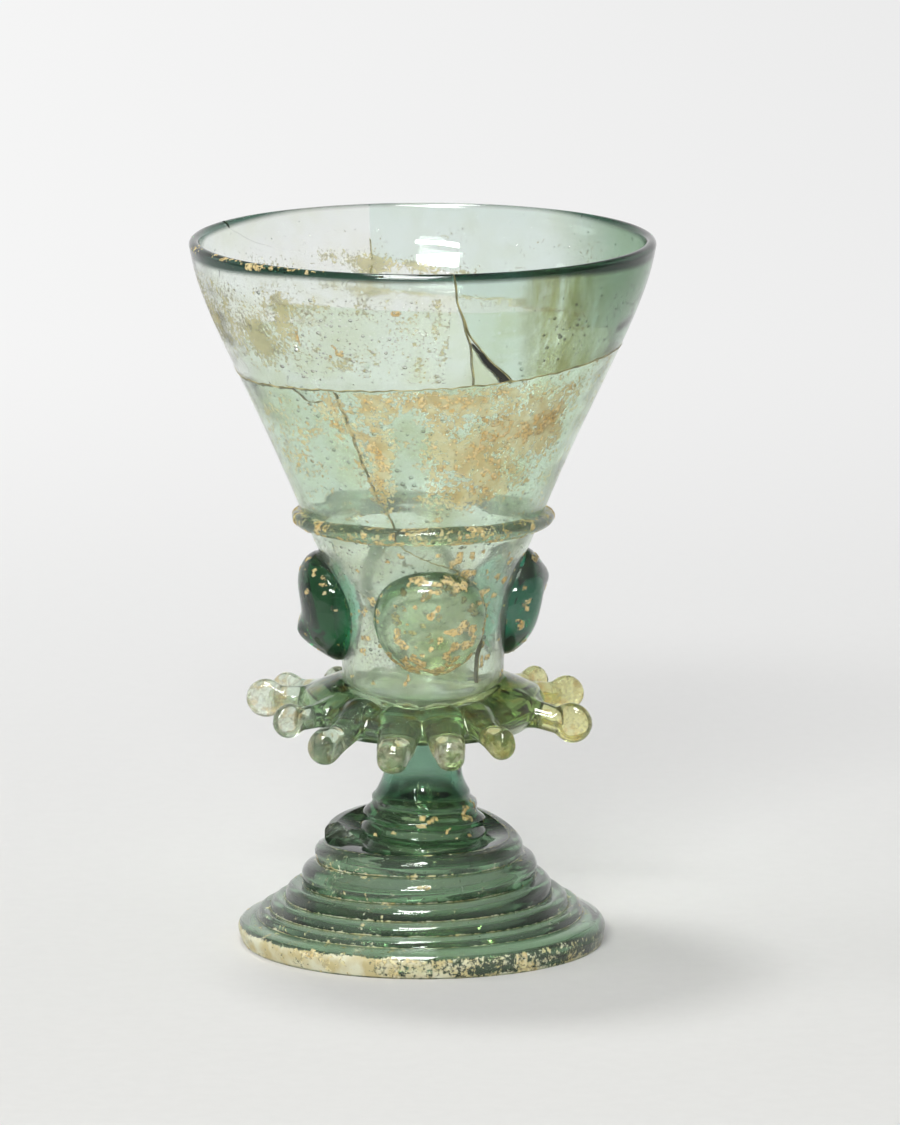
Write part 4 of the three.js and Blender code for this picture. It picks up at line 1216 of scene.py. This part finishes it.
prunt_flakes = []
flake_spokes = np.linspace(0, 2 * np.pi, 280)[:, None]
flake_shares = np.linspace(0.08, 0.97, 44)[None, :]
for order, (bearing, nib) in enumerate(PRUNTS.values()):
    points = prunt_surface(bearing, nib, flake_spokes, flake_shares)
    outward = facing_out(points, place(bearing, 6, PRUNT_HEIGHT))
    bare = 0.18 if order == 0 else 0.34
    cover = speckle(points, (4, 1.1, 0.5), (0.4, 0.8, 0.3), 71 + 5 * order) - bare
    prunt_flakes.append(crust_shape(points, outward, cover + 0.1 * (flake_shares > 0.8), 0.09))
add_crust("prunt_crust", prunt_flakes, crust)

stem_b = np.linspace(-179, 179, 420)[None, :]
stem_h = np.linspace(15.2, 20.4, 40)[:, None]
stem_points = place(stem_b, stem_radius(stem_h) + stem_winding(stem_b, stem_h), stem_h)
stem_outward = facing_out(stem_points, place(stem_b, 0.1, 12))
stem_cover = speckle(stem_points, (3, 0.9, 0.4), (0.4, 0.7, 0.3), 81) - 0.3
add_crust("stem_crust", [crust_shape(stem_points, stem_outward, stem_cover, 0.08)], crust)

thread_turn = np.linspace(0.3, 6.98, 4600)[:, None]
thread_across = np.linspace(0.02, 1, 27)[None, :]
thread_bearing = THREAD_START - 360 * thread_turn
thread_points = thread_surface(thread_turn, thread_across)
thread_outward = facing_out(thread_points, place(thread_bearing, 9, -6))
at_rim = smooth(thread_turn - 5.15)
front_band = 0.5 + 0.5 * np.cos(np.radians(thread_bearing + 20))
low_band = smooth((thread_across - 0.42) / 0.15)
in_groove = np.exp(-(((thread_across - 1) / 0.05) ** 2)) + np.exp(-((thread_across / 0.05) ** 2))
foot_cover = speckle(thread_points, (5, 1.3, 0.5), (0.5, 0.6, 0.6), 91) - 0.46
foot_cover = foot_cover + 0.4 * in_groove * (1 - at_rim) + at_rim * (0.02 + 0.36 * front_band * low_band)
rim_flakes = crust_material("rim_crust", (0.68, 0.52, 0.22), (0.82, 0.76, 0.44), (0.9, 0.86, 0.62))
add_crust("foot_crust", [crust_shape(thread_points, thread_outward, foot_cover, 0.1)], rim_flakes)

# The dust: thin films of fine ochre, olive and pale dust between and round the flakes, on the toes and in the
# foot's grooves, and inside the wall along the rear break. A patch on the rim is listed as for the crust.
RIM_DUST = [
    (-50, 84.5, 6, 2.6, 0.7), (-40, 87, 5, 3.5, 0.5), (-66, 86, 12, 5, 0.38), (-82, 86, 9, 5, 0.45),
    (-20, 82.5, 12, 1.6, 0.35), (-28, 90, 16, 1.2, 0.25),
]
DUST_STEP = 0.3
DUST_PROUD = 0.012
DUST_FROM = -0.3


def dust_shape(points, outward, cover):
    """A skin over the part of a gridded surface that has any dust, with its cover."""
    shape, used = skin_shape(points, outward, cover > DUST_FROM, DUST_PROUD)
    return shape, np.tile(cover.ravel(), 2)[used]


def dust_material(name, dark, pale, densest):
    """A film of fine burial dust that the light partly passes. It is dense where its cover is high and frays
    out into grains where that falls off."""
    material, tree = blank_material(name)
    fine = cloud(tree, 2000, 4, 0.7)
    colour = blend(tree, ramp(tree, cloud(tree, 330, 4), 0.4, 0.6), dark, pale)
    frayed = number(tree, "MULTIPLY_ADD", number(tree, "ADD", fine, -0.5), 2.4, stored(tree, "cover"))
    matt_surface(tree, colour, 0.8, fine, 0.06, ramp(tree, frayed, 0, 0.3, 0, densest, eased=True))
    return material


def wall_dust(bearings, heights, cover_at, inside=False):
    """Dust on the outside or the inside of the wall over a range of bearings and heights."""
    points, outward, b, z = wall_grid(bearings, heights, DUST_STEP, inside)
    return dust_shape(points, outward, cover_at(points, b, z))


def add_dust(name, sheets, material):
    """One object of sheets of dust, each with its own cover."""
    shapes, covers = zip(*sheets)
    finish_piece(add_piece(name, shapes, sharp=80, cover=covers), material)


def body_dust(points, b, z):
    """The film of dust between and round the flakes, wider than they are."""
    under_break = smooth((main_break(b) - 0.1 - z) / 0.2)
    film = hills(b, z, CRUST_PATCHES, 1.1) - 0.2 + speckle(points, (3.2, 1.2, 0.6), (0.35, 0.4, 0.4), 41)
    return film * under_break - 0.5 * (1 - under_break)


def cup_dust(points, b, z):
    """Faint dust on the cup, more of it at the right of the front."""
    near = hills(b, z, [(30, 49, 28, 7, 0.25), (-30, 46, 25, 8, 0.2)])
    return near - 0.12 + speckle(points, (4, 1.2, 0.5), (0.35, 0.5, 0.4), 53)


def rim_dust(points, b, z):
    """Thin stains on the left piece of the rim: one blot at its left, a few upright smears and a fringe along
    the break."""
    fringe = 0.3 * np.exp(-(((z - main_break(b)) / 0.9) ** 2))
    above = smooth((z - main_break(b) - 0.1) / 0.2)
    drawn_up = speckle(points * (1, 1, 0.45), (3, 1, 0.5), (0.45, 0.35, 0.35), 47)
    return (hills(b, z, RIM_DUST) + fringe - 0.17 + drawn_up) * above - 0.5 * (1 - above)


def rear_dust(points, b, z):
    """An olive smear along the break at the rear, and the blot at the foot of the upright crack."""
    line = np.where(b < -150, rear_break(b), main_break(b))
    smear = 0.5 * np.exp(-(((z - line) / 1.1) ** 2))
    smear = smear + hills(b, z, [(-166, 86.6, 5, 1.3, 0.7)]) + hills(b, z, [(-136, 88.3, 9, 1.6, 0.4)])
    return smear - 0.34 + speckle(points, (3, 1, 0.5), (0.4, 0.3, 0.2), 48)


def toe_dust(toe, amount, seed):
    """Dust on the outer part of a toe, on the same grid as the toe's own shape."""
    points = toe_shape(*toe)[0][:-2].reshape(-1, TOE_POINTS, 3)[TOE_ARM_STEPS:]
    points = np.concatenate([points, points[:, :1]], 1)
    middle = points[:, :-1].mean(1, keepdims=True)
    cover = speckle(points, (2.5, 0.9, 0.4), (0.5, 0.5, 0.3), seed) + amount
    return dust_shape(points, facing_out(points, middle), cover)


ochre_dust = dust_material("ochre_dust", (0.74, 0.58, 0.25), (0.88, 0.82, 0.48), 0.55)
olive_dust = dust_material("olive_dust", (0.46, 0.42, 0.17), (0.66, 0.6, 0.28), 0.46)
pale_dust = dust_material("pale_dust", (0.66, 0.7, 0.48), (0.8, 0.88, 0.76), 0.22)
pale_toes = dust_material("toe_dust_pale", (0.8, 0.66, 0.36), (0.92, 0.93, 0.82), 0.2)
yellow_toes = dust_material("toe_dust_yellow", (0.74, 0.58, 0.16), (0.86, 0.86, 0.5), 0.22)
add_dust("body_dust", [wall_dust((-80, 80), BODY_SPAN, body_dust)], ochre_dust)
add_dust("rim_dust", [wall_dust((-95, 7), (80, 92), rim_dust)], olive_dust)
add_dust("rear_dust", [wall_dust((-240, -120), (80, 92), rear_dust, inside=True)], olive_dust)
add_dust("cup_dust", [wall_dust((-75, 75), CUP_SPAN, cup_dust)], pale_dust)
trail_film = speckle(trail_points, (4, 1.2, 0.5), (0.4, 0.5, 0.4), 64) - 0.02
add_dust("trail_dust", [dust_shape(trail_points, trail_outward, trail_film)], ochre_dust)
toe_films = {"pale": [], "yellow": []}
for order, toe in enumerate(TOES):
    yellow = 20 < toe[0] < 150
    toe_films["yellow" if yellow else "pale"].append(toe_dust(toe, 0.02 if yellow else 0.08, 120 + 5 * order))
add_dust("toe_dust_pale", toe_films["pale"], pale_toes)
add_dust("toe_dust_yellow", toe_films["yellow"], yellow_toes)
foot_film = 0.95 * in_groove * (1 - at_rim) + at_rim * (0.12 + 0.95 * front_band * low_band) - 0.35
foot_film = foot_film + speckle(thread_points, (4, 1.2, 0.5), (0.5, 0.4, 0.3), 93)
foot_sheet = dust_shape(thread_points[::2], thread_outward[::2], foot_film[::2])
add_dust("foot_dust", [foot_sheet], dust_material("foot_dust", (0.74, 0.64, 0.34), (0.93, 0.92, 0.7), 0.76))

# The table: a pale matt sheet that runs on far behind the glass and ends a little in front of it. Far behind
# it shows as a pale background.
FLOOR_HALF_WIDTH = 1.5
FLOOR_FRONT = -0.5
FLOOR_BACK = 2.6


def seen_directly(tree):
    """1 for what the camera sees, straight, mirrored or through the glass, and 0 for the light it gives."""
    path = node(tree, "ShaderNodeLightPath").outputs
    mirrored = number(tree, "MAXIMUM", path["Is Glossy Ray"], path["Is Transmission Ray"])
    return number(tree, "MAXIMUM", path["Is Camera Ray"], mirrored)


def floor_material():
    """Matt pale paper, a little uneven. Far behind the glass it fades into a pale background that the camera
    and the glass see, with painted light that makes it brighter on the left than on the right."""
    material, tree = blank_material("table_paper")
    paper = blend(tree, cloud(tree, 400, 3), (0.73, 0.73, 0.71), (0.77, 0.77, 0.75))
    surface = node(tree, "ShaderNodeBsdfPrincipled", {
        "Base Color": paper, "Roughness": 0.9, "Specular IOR Level": 0.1,
    })
    place_here = node(tree, "ShaderNodeTexCoord").outputs["Object"]
    spot = node(tree, "ShaderNodeSeparateXYZ", {"Vector": place_here}).outputs
    far = ramp(tree, spot["Y"], -0.2, 0.5, 0, 0.95, eased=True)
    # Painted light: the pale background is brighter on the left, as if lit from there.
    side = ramp(tree, spot["X"], -0.1, 0.1, 0.94, 0.86)
    pale = node(tree, "ShaderNodeEmission", {"Color": (*CLEAR, 1), "Strength": side})
    share = number(tree, "MULTIPLY", far, seen_directly(tree))
    both = node(tree, "ShaderNodeMixShader", {0: share, 1: surface.outputs[0], 2: pale.outputs[0]})
    node(tree, "ShaderNodeOutputMaterial", {"Surface": both.outputs[0]})
    return material


floor_mesh = bpy.data.meshes.new("table")
floor_mesh.from_pydata([
    (-FLOOR_HALF_WIDTH, FLOOR_FRONT, 0), (FLOOR_HALF_WIDTH, FLOOR_FRONT, 0),
    (FLOOR_HALF_WIDTH, FLOOR_BACK, 0), (-FLOOR_HALF_WIDTH, FLOOR_BACK, 0),
], [], [(0, 1, 2, 3)])
floor_mesh.materials.append(floor_material())
table = bpy.data.objects.new("table", floor_mesh)
bpy.context.scene.collection.objects.link(table)

# The light: a small key high over the glass and a little behind it, a low soft box in front, a weak panel on
# the left, a box that only shines in the glass, and a room that is pale behind the glass and dim in front.
ROOM_LIGHT = 0.31
ROOM_PALE = 0.9
ROOM_DARK = 0.2
GLASS_MIDDLE = Vector((0, 0, 0.05))


def toward(bearing, elevation):
    """The direction of a bearing and an elevation, as a unit vector."""
    a, e = math.radians(bearing), math.radians(elevation)
    return Vector((math.sin(a) * math.cos(e), -math.cos(a) * math.cos(e), math.sin(e)))


def add_lamp(name, bearing, elevation, distance, width, height, power):
    """An area lamp on a bearing and an elevation round the glass, facing its middle. Returns the lamp."""
    data = bpy.data.lights.new(name, "AREA")
    data.shape = "RECTANGLE"
    data.size, data.size_y, data.energy = width, height, power
    lamp = bpy.data.objects.new(name, data)
    spot = toward(bearing, elevation) * distance
    lamp.location = GLASS_MIDDLE + spot
    lamp.rotation_euler = (-spot).to_track_quat("-Z", "Y").to_euler()
    bpy.context.scene.collection.objects.link(lamp)
    return lamp


def room_light():
    """The room: an even soft light on the table. The glass shows a pale band low behind it and dark above and
    in front."""
    world = bpy.data.worlds.new("room")
    world.use_nodes = True
    tree = world.node_tree
    tree.nodes.clear()
    coordinates = node(tree, "ShaderNodeTexCoord").outputs["Generated"]
    way = node(tree, "ShaderNodeSeparateXYZ", {"Vector": coordinates}).outputs
    behind = ramp(tree, way["Y"], 0.1, 0.6, eased=True)
    low = ramp(tree, way["Z"], 0.6, 0.3, eased=True)
    pale = ramp(tree, number(tree, "MULTIPLY", behind, low), 0, 1, ROOM_DARK, ROOM_PALE)
    level = node(tree, "ShaderNodeMix", {0: seen_directly(tree), 2: ROOM_LIGHT, 3: pale})
    light = node(tree, "ShaderNodeBackground", {"Color": (*CLEAR, 1), "Strength": level.outputs[0]})
    node(tree, "ShaderNodeOutputWorld", {"Surface": light.outputs[0]})
    return world


add_lamp("soft_box", -10.5, 31, 1.5, 0.6, 0.15, 15)
add_lamp("key", -148, 77.5, 1.2, 0.19, 0.2, 4.8)
side_panel = add_lamp("side_panel", -95, 30, 1.5, 0.5, 0.5, 2.5)
side_panel.visible_glossy = False
highlight = add_lamp("highlight_box", -8, 66, 1.25, 0.4, 0.75, 28)
highlight.visible_diffuse = False
bpy.context.scene.world = room_light()

# The camera, at the photograph's place: 1.35 m in front of the glass and 0.31 m up. It looks down at the
# glass through a long lens.
CAMERA_SPOT = Vector((0, -1.35, 0.30964))
CAMERA_AIM = Vector((0.00363, 0, 0.05139))
camera_data = bpy.data.cameras.new("camera")
camera_data.sensor_fit = "VERTICAL"
camera_data.sensor_height = 36
camera_data.lens = 329.9
camera = bpy.data.objects.new("camera", camera_data)
camera.location = CAMERA_SPOT
camera.rotation_euler = (CAMERA_AIM - CAMERA_SPOT).to_track_quat("-Z", "Y").to_euler()
bpy.context.scene.collection.objects.link(camera)
bpy.context.scene.camera = camera
bpy.context.scene.view_settings.view_transform = "Standard"
cycles = bpy.context.scene.cycles
cycles.max_bounces = 24
cycles.transmission_bounces = 24
cycles.transparent_max_bounces = 16
